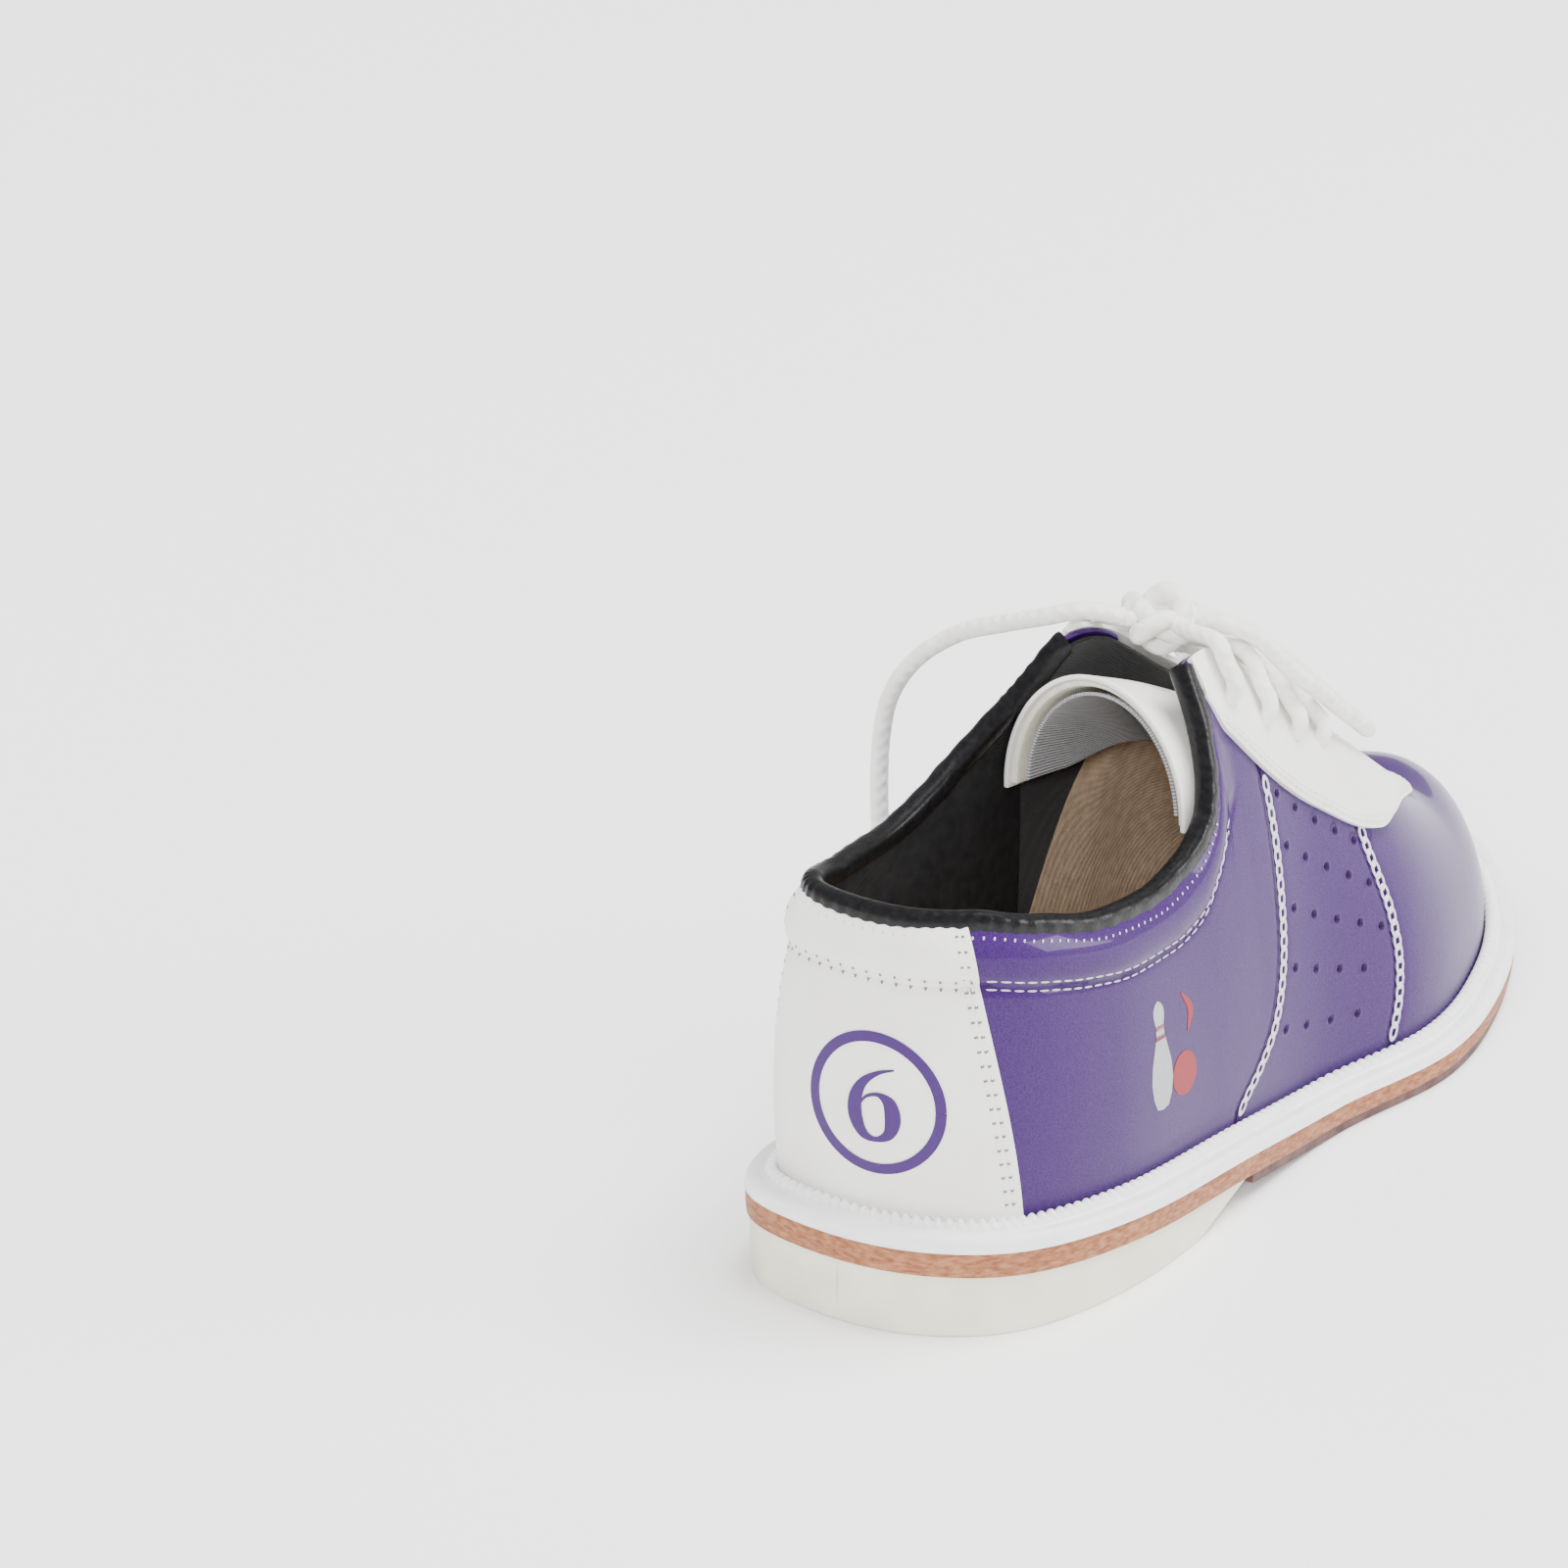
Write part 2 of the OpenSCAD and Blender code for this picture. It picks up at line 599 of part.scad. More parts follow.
centred() heel_block();
centred() slide_sole();
centred() midsole();
centred() welt();
centred() insole_board();
centred() cork_filler();
centred() shank();
centred() heel_panel();
centred() quarter_lateral();
centred() quarter_medial();
centred() side_panel_lateral();
centred() side_panel_medial();
centred() vamp();
centred() lace_apron();
centred() topline_binding();
centred() collar_foam();
centred() heel_counter();
centred() toe_puff();
centred() quarter_lining();
centred() vamp_lining();
centred() tongue_cover();
centred() tongue_foam();
centred() tongue_lining();
centred() rear_chain_stitch();
centred() front_chain_stitch();
centred() collar_stitch();
centred() heel_seam_stitch();
centred() lace_crossings();
centred() lace_knot();
centred() lace_loop_lateral();
centred() lace_loop_medial();
centred() lace_end_rear();
centred() lace_end_front();
centred() aglet_rear();
centred() aglet_front();
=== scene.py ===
"""Right-foot bowling shoe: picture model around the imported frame."""
import math

import bpy
import numpy as np
from mathutils import Matrix, Vector


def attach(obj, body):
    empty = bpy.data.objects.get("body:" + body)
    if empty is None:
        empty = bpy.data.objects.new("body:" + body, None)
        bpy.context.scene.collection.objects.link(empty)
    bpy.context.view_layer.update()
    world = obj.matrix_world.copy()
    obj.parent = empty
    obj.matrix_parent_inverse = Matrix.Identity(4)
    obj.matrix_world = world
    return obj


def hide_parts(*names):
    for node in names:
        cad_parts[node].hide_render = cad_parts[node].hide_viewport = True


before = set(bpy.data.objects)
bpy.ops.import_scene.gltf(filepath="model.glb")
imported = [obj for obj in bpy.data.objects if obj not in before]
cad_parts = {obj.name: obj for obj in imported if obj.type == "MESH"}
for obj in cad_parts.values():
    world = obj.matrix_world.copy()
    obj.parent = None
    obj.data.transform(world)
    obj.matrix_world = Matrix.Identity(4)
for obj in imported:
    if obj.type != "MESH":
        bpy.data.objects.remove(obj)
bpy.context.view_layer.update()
MM = 0.001
# Puts the middle of the shoe's footprint over the origin
CENTRED = np.array([-1.5, -1.75, 0])


def metres(points):
    return (np.asarray(points, float) + CENTRED) * MM


# ---------------------------------------------------------------- the last, in millimetres
# Outline of the sole from the heel round the outer side, the toe and the inner side.
PLAN = np.array([
    (0, -134), (22, -128), (38, -112), (46, -82), (46, -40), (46, 0), (53, 40), (48, 74),
    (36, 103), (15, 128), (-7, 137.5), (-29, 128.5), (-46, 104), (-50, 74), (-47, 40),
    (-40, 0), (-35, -40), (-37, -82), (-35, -114), (-25, -130)], float)
STATIONS = len(PLAN)
TOE = STATIONS / 2
SOLE_TOP = [(-137, 21), (-90, 17.2), (-40, 11.6), (0, 7), (25, 6.5), (50, 6.7), (95, 9.6), (138, 16)]
SPINE_X = [(-137, 2), (-100, 2), (-40, 5), (0, 5), (40, 3), (85, 0), (138, -4)]
RIDGE_Z = [(-100, 132), (-60, 132), (-20, 128), (10, 106), (40, 82), (85, 49)]
FULLNESS = [(-100, 1.3), (-60, 1.3), (-20, 1), (40, 0.8), (85, 0.85)]
SPINE_HEEL, SPINE_TOE, SPINE_SOFT = -100, 85, 14
HEEL_BULGE, FEATHER = 2, 7.5
MIDSOLE_HEEL, MIDSOLE_TOE, SLIDE_T = 5.6, 2.9, 2.7
WELT_BEAD = 5.9
LEATHER_T, LINING_TOP, LINING_T, APRON_T = 1.2, -2.3, 0.9, 1.4
APRON_START, APRON_END, APRON_GAP = 4.42, 8.24, 0.35
EDGE_LATERAL = [
    (0, 38.5), (1.5, 38.4), (2.4, 36), (3, 33.4), (3.5, 32.8), (3.85, 34.6), (4.15, 39.3),
    (4.25, 44), (4.32, 52), (4.38, 66), (4.6, 69), (5, 73), (5.5, 79), (5.9, 84), (6.1, 91)]
EDGE_MEDIAL = [
    (0, 38.5), (1.5, 38.6), (2.4, 37.3), (3, 37), (3.5, 40.2), (3.85, 45.2), (4.15, 52),
    (4.28, 58), (4.38, 66), (4.6, 69), (5, 73), (5.5, 79), (5.9, 84), (6.1, 91)]
APRON_LOW = [
    (4.4, 60), (4.51, 51.5), (4.85, 45), (5.25, 42.3), (5.56, 40.9), (5.76, 41.9),
    (6.03, 46.8), (6.37, 53.2), (7, 61), (7.6, 69), (8, 79), (8.3, 90)]
# How far the inner side of the opening leans out past the rest of the upper
FLARE = [(2.4, 0), (3.3, 5.5), (3.9, 8), (4.3, 6), (4.6, 3.5), (5.2, 0)]
FLARE_FOOT, FLARE_TOP = 12, 42
HEEL_SEAM = [(-6, 2.02), (0, 1.98), (38, 1.46), (60, 1.3)]
REAR_SEAM = [(-6, 4.16), (0, 4.2), (5, 4.45), (9, 4.61), (14, 4.7), (20, 4.75), (40, 4.79), (91, 4.8)]
FRONT_SEAM = [
    (-6, 5.62), (0, 5.65), (8, 5.72), (15, 5.74), (24, 5.71), (31, 5.65), (40, 5.59), (50, 5.62),
    (70, 5.9), (91, 6.12)]
COLLAR_ROW = [
    (0, 29.8), (1.57, 29.6), (2.3, 28), (2.83, 26.2), (3.28, 25.1), (3.63, 25.2), (3.91, 26.7),
    (4.17, 31.7), (4.31, 36.2), (4.5, 42.6)]


def smooth(pairs, x):
    """Smooth curve through the pairs, without overshoot."""
    k = np.array(pairs, float)
    kx, kv = k[:, 0], k[:, 1]
    x = np.clip(np.asarray(x, float), kx[0], kx[-1])
    rise = np.diff(kv) / np.diff(kx)
    slope = np.zeros(len(kx))
    slope[0], slope[-1] = rise[0], rise[-1]
    for i in range(1, len(kx) - 1):
        product = rise[i - 1] * rise[i]
        slope[i] = 0 if product <= 0 else 2 * product / (rise[i - 1] + rise[i])
    i = np.clip(np.searchsorted(kx, x, side="right") - 1, 0, len(kx) - 2)
    w = kx[i + 1] - kx[i]
    t = (x - kx[i]) / w
    return ((2 * t**3 - 3 * t**2 + 1) * kv[i] + (t**3 - 2 * t**2 + t) * w * slope[i]
            + (3 * t**2 - 2 * t**3) * kv[i + 1] + (t**3 - t**2) * w * slope[i + 1])


def mix(a, b, t):
    return a + (b - a) * t


def ease(t):
    t = np.clip(t, 0, 1)
    return t * t * (3 - 2 * t)


def unit(v):
    v = np.asarray(v, float)
    return v / np.maximum(np.linalg.norm(v, axis=-1, keepdims=True), 1e-12)


def distance_along(path):
    """Distance from the start of a path to each of its points."""
    return np.concatenate([[0], np.cumsum(np.linalg.norm(np.diff(path, axis=0), axis=1))])


def soft_min(a, b):
    return (a + b - np.sqrt((a - b) ** 2 + SPINE_SOFT**2)) / 2


def soft_max(a, b):
    return (a + b + np.sqrt((a - b) ** 2 + SPINE_SOFT**2)) / 2


def spline(p, t, closed=False):
    """Catmull-Rom curve through p at t, counted in points."""
    p = np.asarray(p, float)
    n = len(p)
    t = np.asarray(t, float)
    i = np.floor(t).astype(int)
    if not closed:
        i = np.clip(i, 0, n - 2)
    f = (t - i)[..., None]
    pick = (lambda j: p[j % n]) if closed else (lambda j: p[np.clip(j, 0, n - 1)])
    a, b, c, d = pick(i - 1), pick(i), pick(i + 1), pick(i + 2)
    return (2 * b + (c - a) * f + (2 * a - 5 * b + 4 * c - d) * f**2 + (3 * b - a - 3 * c + d) * f**3) / 2


def rim(u, inset=0.0):
    """Outline of the sole at station u, moved in by inset, and the outward direction there."""
    d = spline(PLAN, np.asarray(u) + 0.02, True) - spline(PLAN, np.asarray(u) - 0.02, True)
    out = unit(np.stack([d[..., 1], -d[..., 0]], -1))
    return spline(PLAN, u, True) - out * np.asarray(inset)[..., None], out


def top_of_sole(y):
    return smooth(SOLE_TOP, y)


def midsole_t(y):
    return mix(MIDSOLE_HEEL, MIDSOLE_TOE, (np.asarray(y) + 137) / 275)


def from_heel(u):
    v = np.mod(u, STATIONS)
    return np.minimum(v, STATIONS - v)


def on_outer_side(u):
    return np.mod(u, STATIONS) <= TOE


def last(u, th):
    """Point of the upper's outer face at station u and height angle th."""
    u, th = np.broadcast_arrays(np.asarray(u, float), np.asarray(th, float))
    b, out = rim(u, FEATHER)
    cy = soft_max(soft_min(b[..., 1], SPINE_TOE), SPINE_HEEL)
    c = np.stack([smooth(SPINE_X, cy), cy], -1)
    z0 = top_of_sole(b[..., 1]) + WELT_BEAD
    h = smooth(RIDGE_Z, cy)
    t = np.radians(th)
    w = np.sign(np.cos(t)) * np.abs(np.cos(t)) ** smooth(FULLNESS, cy)
    puff = HEEL_BULGE * np.clip(-(cy + 20) / 80, 0, 1) * np.maximum(np.sin(np.pi * np.sin(t)), 0)
    lean = np.where(on_outer_side(u), 0, smooth(FLARE, from_heel(u)))
    rest = lean * np.clip((th - FLARE_FOOT) / (FLARE_TOP - FLARE_FOOT), 0, 1) ** 2
    xy = c + (b - c) * w[..., None] + out * (puff + rest)[..., None]
    return np.concatenate([xy, (z0 + (h - z0) * np.sin(t))[..., None]], -1)


def normal(u, th):
    e = 0.5
    u, th = np.broadcast_arrays(np.asarray(u, float), np.minimum(np.asarray(th, float), 90 - e))
    return unit(np.cross(last(u + 0.04, th) - last(u - 0.04, th), last(u, th + e) - last(u, th - e)))


def skin(u, th, off=0.0):
    return last(u, th) + np.asarray(off)[..., None] * normal(u, th)


def foot(u, drop=4.4):
    """Height angle that lies the given drop under the welt's bead."""
    y = rim(u)[0][..., 1]
    return -np.degrees(np.arcsin(drop / (smooth(RIDGE_Z, y) - top_of_sole(y) - WELT_BEAD)))


def edge(u):
    return np.where(on_outer_side(u), smooth(EDGE_LATERAL, from_heel(u)), smooth(EDGE_MEDIAL, from_heel(u)))


def collar_row(u):
    """Height angle of the stitching under the padded collar."""
    v = from_heel(u)
    lift = smooth(EDGE_MEDIAL, v) - smooth(EDGE_LATERAL, v)
    return smooth(COLLAR_ROW, v) + np.where(on_outer_side(u), 0, lift)


def relief(u, th):
    """How far the leather stands out where the collar is padded, and sinks along its stitching."""
    v = from_heel(u)
    row, top = collar_row(u), edge(u)
    t = np.clip((th - row) / np.maximum(top - row, 1), 0, 1)
    roll = 2.3 * np.sin(np.pi * t**0.9) ** 0.8 * (1 - ease((v - 3.6) / 1.0) * 0.55)
    groove = -0.45 * np.exp(-(((th - row) * 1.6) / 1.3) ** 2)
    fade = 1 - ease((v - 4.35) / 0.2)
    return (np.where(th > row, roll, 0) + groove) * fade


# ---------------------------------------------------------------- small makers
def clear_selection():
    if bpy.context.object is not None and bpy.context.object.mode != "OBJECT":
        bpy.ops.object.mode_set(mode="OBJECT")
    bpy.ops.object.select_all(action="DESELECT")


def activate(piece):
    clear_selection()
    piece.select_set(True)
    bpy.context.view_layer.objects.active = piece
    return piece


def modify(piece, kind, **settings):
    """Adds a modifier with these settings and applies it."""
    activate(piece)
    m = piece.modifiers.new(kind.title(), kind)
    for name, value in settings.items():
        setattr(m, name, value)
    bpy.ops.object.modifier_apply(modifier=m.name)
    return piece


def grid(name, place, columns, rows, weld=False, uv_size=None):
    """A grid primitive laid where place(s, r) says, in millimetres; s and r run from 0 to 1."""
    clear_selection()
    bpy.ops.mesh.primitive_grid_add(x_subdivisions=columns, y_subdivisions=rows, size=1)
    piece = bpy.context.object
    piece.name = name
    piece.data.name = name
    n = len(piece.data.vertices)
    co = np.empty(n * 3)
    piece.data.vertices.foreach_get("co", co)
    co = co.reshape(-1, 3)
    points = metres(place(co[:, 0] + 0.5, co[:, 1] + 0.5))
    piece.data.vertices.foreach_set("co", points.ravel())
    if uv_size:
        layer = piece.data.uv_layers.active.data
        uv = np.empty(len(layer) * 2)
        layer.foreach_get("uv", uv)
        layer.foreach_set("uv", (uv.reshape(-1, 2) * np.array(uv_size)).ravel())
    piece.data.update()
    if weld:
        activate(piece)
        bpy.ops.object.mode_set(mode="EDIT")
        bpy.ops.mesh.select_all(action="SELECT")
        bpy.ops.mesh.remove_doubles(threshold=0.02 * MM)
        bpy.ops.object.mode_set(mode="OBJECT")
    return piece


def thicken(piece, thickness, round_edge=0.3, segments=2):
    """Gives a sheet its thickness towards its inner side and rounds its cut edges."""
    modify(piece, "SOLIDIFY", thickness=thickness * MM, offset=-1, use_even_offset=False)
    if round_edge:
        modify(piece, "BEVEL", width=round_edge * MM, segments=segments, limit_method="ANGLE",
               angle_limit=math.radians(55), profile=0.5)
    return piece


def finish_piece(piece, material, slot, *nodes, body="root", smooth_angle=50):
    activate(piece)
    bpy.ops.object.shade_smooth_by_angle(angle=math.radians(smooth_angle))
    piece.data.materials.clear()
    piece.data.materials.append(material)
    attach(piece, body)
    if nodes:
        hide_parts(*nodes)
    return piece


def sweep(name, path, radius, sides=16, flat=1.0, ups=None, closed=False, caps=True):
    """A tube round a path in millimetres. flat squeezes it along the up direction given at each point."""
    path = np.asarray(path, float)
    n = len(path)
    if closed:
        tangent = unit(np.roll(path, -1, 0) - np.roll(path, 1, 0))
    else:
        tangent = unit(np.gradient(path, axis=0))
    if ups is None:
        up = np.array([0, 0, 1.0])
        ups = []
        for t in tangent:
            side = np.cross(t, up)
            if np.linalg.norm(side) < 0.2:
                side = np.cross(t, [1.0, 0, 0])
            up = unit(np.cross(unit(side), t))
            ups.append(up)
        ups = np.array(ups)
    side = unit(np.cross(tangent, ups))
    ups = unit(np.cross(side, tangent))
    radius = np.broadcast_to(np.asarray(radius, float), (n,))
    angle = np.arange(sides) / sides * 2 * math.pi
    ring = (np.cos(angle)[None, :, None] * side[:, None] + np.sin(angle)[None, :, None] * ups[:, None] * flat)
    points = metres((path[:, None] + ring * radius[:, None, None]).reshape(-1, 3))
    length = distance_along(path)
    faces, uvs = [], []
    last_ring = n if closed else n - 1
    for i in range(last_ring):
        j = (i + 1) % n
        l0 = length[i]
        l1 = length[i] + np.linalg.norm(path[j] - path[i])
        for k in range(sides):
            k2 = (k + 1) % sides
            faces.append((i * sides + k, i * sides + k2, j * sides + k2, j * sides + k))
            uvs += [(k / sides, l0), ((k + 1) / sides, l0), ((k + 1) / sides, l1), (k / sides, l1)]
    if caps and not closed:
        faces.append(tuple(range(sides))[::-1])
        faces.append(tuple((n - 1) * sides + k for k in range(sides)))
        uvs += [(0.5, 0)] * (2 * sides)
    mesh = bpy.data.meshes.new(name)
    mesh.from_pydata([tuple(p) for p in points], [], faces)
    layer = mesh.uv_layers.new(name="UVMap")
    layer.data.foreach_set("uv", np.array(uvs, float).ravel())
    mesh.update()
    piece = bpy.data.objects.new(name, mesh)
    bpy.context.collection.objects.link(piece)
    return piece


def template(maker, **settings):
    """Corners and faces of a primitive, which is then taken away."""
    clear_selection()
    maker(**settings)
    piece = bpy.context.object
    corners = np.array([v.co[:] for v in piece.data.vertices])
    faces = [tuple(f.vertices) for f in piece.data.polygons]
    bpy.data.objects.remove(piece, do_unlink=True)
    return corners, faces


def repeat(name, shape, places):
    """One mesh of copies of a shape. A place is its centre and its length, width and height axes."""
    corners, faces = shape
    points, all_faces = [], []
    for i, (centre, along, across, up) in enumerate(places):
        points.append(centre + corners[:, :1] * along + corners[:, 1:2] * across + corners[:, 2:] * up)
        all_faces += [tuple(v + i * len(corners) for v in f) for f in faces]
    mesh = bpy.data.meshes.new(name)
    mesh.from_pydata([tuple(p) for p in metres(np.concatenate(points))], [], all_faces)
    mesh.update()
    piece = bpy.data.objects.new(name, mesh)
    bpy.context.collection.objects.link(piece)
    return piece


def resample(path, step):
    """Points evenly spaced along a path, and the step between them."""
    path = np.asarray(path, float)
    length = distance_along(path)
    count = max(int(round(length[-1] / step)), 1)
    at = np.linspace(0, length[-1], count + 1)
    return np.stack([np.interp(at, length, path[:, k]) for k in range(path.shape[1])], -1)


# ---------------------------------------------------------------- materials
def material(name, base, roughness=0.5, **sockets):
    m = bpy.data.materials.new(name)
    m.use_nodes = True
    shader = m.node_tree.nodes["Principled BSDF"]
    shader.inputs["Base Color"].default_value = (*base, 1)
    shader.inputs["Roughness"].default_value = roughness
    for key, value in sockets.items():
        shader.inputs[key.replace("_", " ")].default_value = value
    return m


def node(m, kind, **settings):
    n = m.node_tree.nodes.new(kind)
    for key, value in settings.items():
        if key in n.inputs:
            n.inputs[key].default_value = value
        else:
            setattr(n, key, value)
    return n


def join(m, a, a_out, b, b_in):
    m.node_tree.links.new(a.outputs[a_out], b.inputs[b_in])


def coordinates(m, kind="Object", scale=(1, 1, 1)):
    where = node(m, "ShaderNodeTexCoord")
    mapping = node(m, "ShaderNodeMapping")
    mapping.inputs["Scale"].default_value = scale
    join(m, where, kind, mapping, "Vector")
    return mapping


def mottle(m, low, high, scale, detail=4, place=None, spread=(0.35, 0.65)):
    """Base colour that wanders between two colours."""
    place = place or coordinates(m)
    noise = node(m, "ShaderNodeTexNoise", Scale=scale, Detail=detail)
    ramp = node(m, "ShaderNodeValToRGB")
    ramp.color_ramp.elements[0].color = (*low, 1)
    ramp.color_ramp.elements[1].color = (*high, 1)
    ramp.color_ramp.elements[0].position, ramp.color_ramp.elements[1].position = spread
    join(m, place, "Vector", noise, "Vector")
    join(m, noise, "Fac", ramp, "Fac")
    join(m, ramp, "Color", m.node_tree.nodes["Principled BSDF"], "Base Color")
    return ramp


def bump(m, texture, output, strength, distance, chain=None):
    b = node(m, "ShaderNodeBump", Strength=strength, Distance=distance)
    join(m, texture, output, b, "Height")
    if chain is not None:
        join(m, chain, "Normal", b, "Normal")
    join(m, b, "Normal", m.node_tree.nodes["Principled BSDF"], "Normal")
    return b


def grain(m, scale, strength, distance=0.0001, chain=None):
    place = coordinates(m)
    cells = node(m, "ShaderNodeTexVoronoi", Scale=scale)
    join(m, place, "Vector", cells, "Vector")
    return bump(m, cells, "Distance", strength, distance, chain)


def unevenness(m, scale, strength, distance, chain=None):
    place = coordinates(m)
    noise = node(m, "ShaderNodeTexNoise", Scale=scale, Detail=3)
    join(m, place, "Vector", noise, "Vector")
    return bump(m, noise, "Fac", strength, distance, chain)


def pearl_violet():
    m = material("pearl_violet_leather", (0.04, 0.012, 0.095), 0.4, Specular_IOR_Level=0.1,
                 Coat_Weight=0.42, Coat_Roughness=0.05, Coat_IOR=1.33)
    mottle(m, (0.028, 0.008, 0.072), (0.055, 0.019, 0.12), 2600, 2, spread=(0.3, 0.72))
    wave = unevenness(m, 60, 0.25, 0.0006)
    flake = node(m, "ShaderNodeTexNoise", Scale=4200, Detail=1)
    join(m, coordinates(m), "Vector", flake, "Vector")
    bump(m, flake, "Fac", 0.12, 0.00005, wave)
    return m


def white_leather():
    m = material("white_leather", (0.83, 0.82, 0.785), 0.42, Coat_Weight=0.25, Coat_Roughness=0.3)
    mottle(m, (0.80, 0.785, 0.745), (0.86, 0.85, 0.82), 55, 5)
    grain(m, 1500, 0.10, 0.0001, unevenness(m, 120, 0.2, 0.0004))
    return m


def white_welt():
    m = material("white_welt", (0.86, 0.87, 0.875), 0.38, Coat_Weight=0.2, Coat_Roughness=0.25)
    place = coordinates(m, scale=(1, 1, 6))
    mottle(m, (0.80, 0.81, 0.815), (0.88, 0.885, 0.89), 130, 6, place)
    unevenness(m, 500, 0.15, 0.0002, unevenness(m, 90, 0.25, 0.0005))
    return m


def cream_rubber():
    m = material("cream_rubber", (0.78, 0.74, 0.60), 0.55)
    mottle(m, (0.74, 0.70, 0.56), (0.80, 0.765, 0.64), 90, 6)
    unevenness(m, 900, 0.12, 0.0002, unevenness(m, 70, 0.2, 0.0005))
    return m


def tan_leather():
    """Leather board with a speckled cut edge."""
    m = material("tan_leather", (0.31, 0.115, 0.045), 0.62)
    ramp = mottle(m, (0.20, 0.06, 0.022), (0.38, 0.165, 0.08), 420, 8, coordinates(m, scale=(1, 1, 3)))
    ramp.color_ramp.elements.new(0.52).color = (0.31, 0.115, 0.045, 1)
    unevenness(m, 1200, 0.35, 0.0002)
    return m


def dark_sole():
    m = material("dark_sliding_leather", (0.085, 0.035, 0.03), 0.6)
    mottle(m, (0.055, 0.02, 0.018), (0.13, 0.06, 0.05), 240, 6)
    unevenness(m, 1500, 0.3, 0.0002)
    return m


def insole_brown():
    m = material("insole_board_brown", (0.50, 0.34, 0.21), 0.9, Sheen_Weight=0.15)
    ramp = mottle(m, (0.41, 0.27, 0.165), (0.56, 0.395, 0.25), 330, 9)
    ramp.color_ramp.elements.new(0.5).color = (0.49, 0.33, 0.205, 1)
    unevenness(m, 1400, 0.4, 0.0002)
    return m


def black_binding():
    m = material("black_binding", (0.006, 0.006, 0.0065), 0.32, Specular_IOR_Level=0.25)
    mottle(m, (0.004, 0.004, 0.0045), (0.009, 0.009, 0.01), 700, 4)
    grain(m, 1300, 0.25, 0.00015, unevenness(m, 260, 0.35, 0.0004))
    return m


def knit(name, low, high, pitch, depth, sheen=0.3):
    """Knitted cloth: two crossed fine waves."""
    m = material(name, low, 0.95, Sheen_Weight=sheen)
    mottle(m, low, high, 300, 5)
    place = coordinates(m)
    chain = None
    for turn in ("X", "Z"):
        wave = node(m, "ShaderNodeTexWave", bands_direction=turn, Scale=pitch, Distortion=1.2)
        join(m, place, "Vector", wave, "Vector")
        chain = bump(m, wave, "Fac", depth, 0.0002, chain)
    return m


def two_part_cloth():
    """Brown drill in the toe of the shoe; the facings and the slanted seam behind them are black."""
    m = knit("woven_drill", (0.50, 0.36, 0.235), (0.66, 0.49, 0.335), 700, 0.4, 0.1)
    seam_slope, seam_height, facing_height = 1.6, 0.085, 0.084
    shader = m.node_tree.nodes["Principled BSDF"]
    drill = shader.inputs["Base Color"].links[0].from_node
    height = node(m, "ShaderNodeSeparateXYZ")
    join(m, coordinates(m), "Vector", height, "Vector")
    slant = node(m, "ShaderNodeMath", operation="MULTIPLY_ADD")
    slant.inputs[1].default_value = seam_slope
    slant.inputs[2].default_value = seam_height
    level = node(m, "ShaderNodeMath", operation="MINIMUM")
    level.inputs[1].default_value = facing_height
    above = node(m, "ShaderNodeMath", operation="GREATER_THAN")
    join(m, height, "Y", slant, 0)
    join(m, slant, "Value", level, 0)
    join(m, height, "Z", above, 0)
    join(m, level, "Value", above, 1)
    colour = node(m, "ShaderNodeMix", data_type="RGBA")
    colour.inputs[7].default_value = (0.008, 0.008, 0.009, 1)
    join(m, above, "Value", colour, 0)
    join(m, drill, "Color", colour, 6)
    join(m, colour, 2, shader, "Base Color")
    return m


def ribbed_grey():
    """Ribbed knit of the tongue's lining; the ribs follow the sheet. Its colour is painted shade in the rib
    hollows and painted light on the rib crests.
    """
    m = material("grey_ribbed_knit", (0.40, 0.40, 0.415), 0.9, Sheen_Weight=0.35)
    place = coordinates(m, "UV")
    ribs = node(m, "ShaderNodeTexWave", bands_direction="Y", Scale=0.33, Distortion=0.6, Detail=2)
    ribs.inputs["Detail Scale"].default_value = 2.0
    join(m, place, "Vector", ribs, "Vector")
    # Painted shade and light: the rib wave darkens the hollows and lightens the crests
    ramp = node(m, "ShaderNodeValToRGB")
    ramp.color_ramp.elements[0].color = (0.25, 0.25, 0.262, 1)
    ramp.color_ramp.elements[1].color = (0.56, 0.56, 0.575, 1)
    join(m, ribs, "Fac", ramp, "Fac")
    join(m, ramp, "Color", m.node_tree.nodes["Principled BSDF"], "Base Color")
    chain = bump(m, ribs, "Fac", 0.8, 0.0006)
    fuzz = node(m, "ShaderNodeTexNoise", Scale=3000, Detail=2)
    join(m, coordinates(m), "Vector", fuzz, "Vector")
    bump(m, fuzz, "Fac", 0.4, 0.0001, chain)
    return m


def braid():
    """White braid: two crossing diagonal waves on the lace's own length and girth."""
    m = material("white_braid", (0.84, 0.83, 0.79), 0.8, Sheen_Weight=0.25)
    mottle(m, (0.79, 0.775, 0.73), (0.88, 0.875, 0.84), 220, 4)
    chain = None
    for girth in (6.0, -6.0):
        place = coordinates(m, "UV", (girth, 0.55, 1))
        turn = node(m, "ShaderNodeMapping")
        turn.inputs["Rotation"].default_value = (0, 0, math.radians(45))
        join(m, place, "Vector", turn, "Vector")
        wave = node(m, "ShaderNodeTexWave", bands_direction="X", Scale=0.22)
        join(m, turn, "Vector", wave, "Vector")
        chain = bump(m, wave, "Fac", 0.55, 0.0003, chain)
    return m


def thread(name, base):
    m = material(name, base, 0.6, Sheen_Weight=0.2)
    mottle(m, tuple(0.86 * c for c in base), base, 900, 2)
    unevenness(m, 2500, 0.3, 0.0001)
    return m


def ink(name, base):
    m = material(name, base, 0.38, Specular_IOR_Level=0.2, Coat_Weight=0.15, Coat_Roughness=0.2)
    mottle(m, tuple(0.93 * c for c in base), base, 400, 3)
    unevenness(m, 1500, 0.08, 0.0001)
    return m


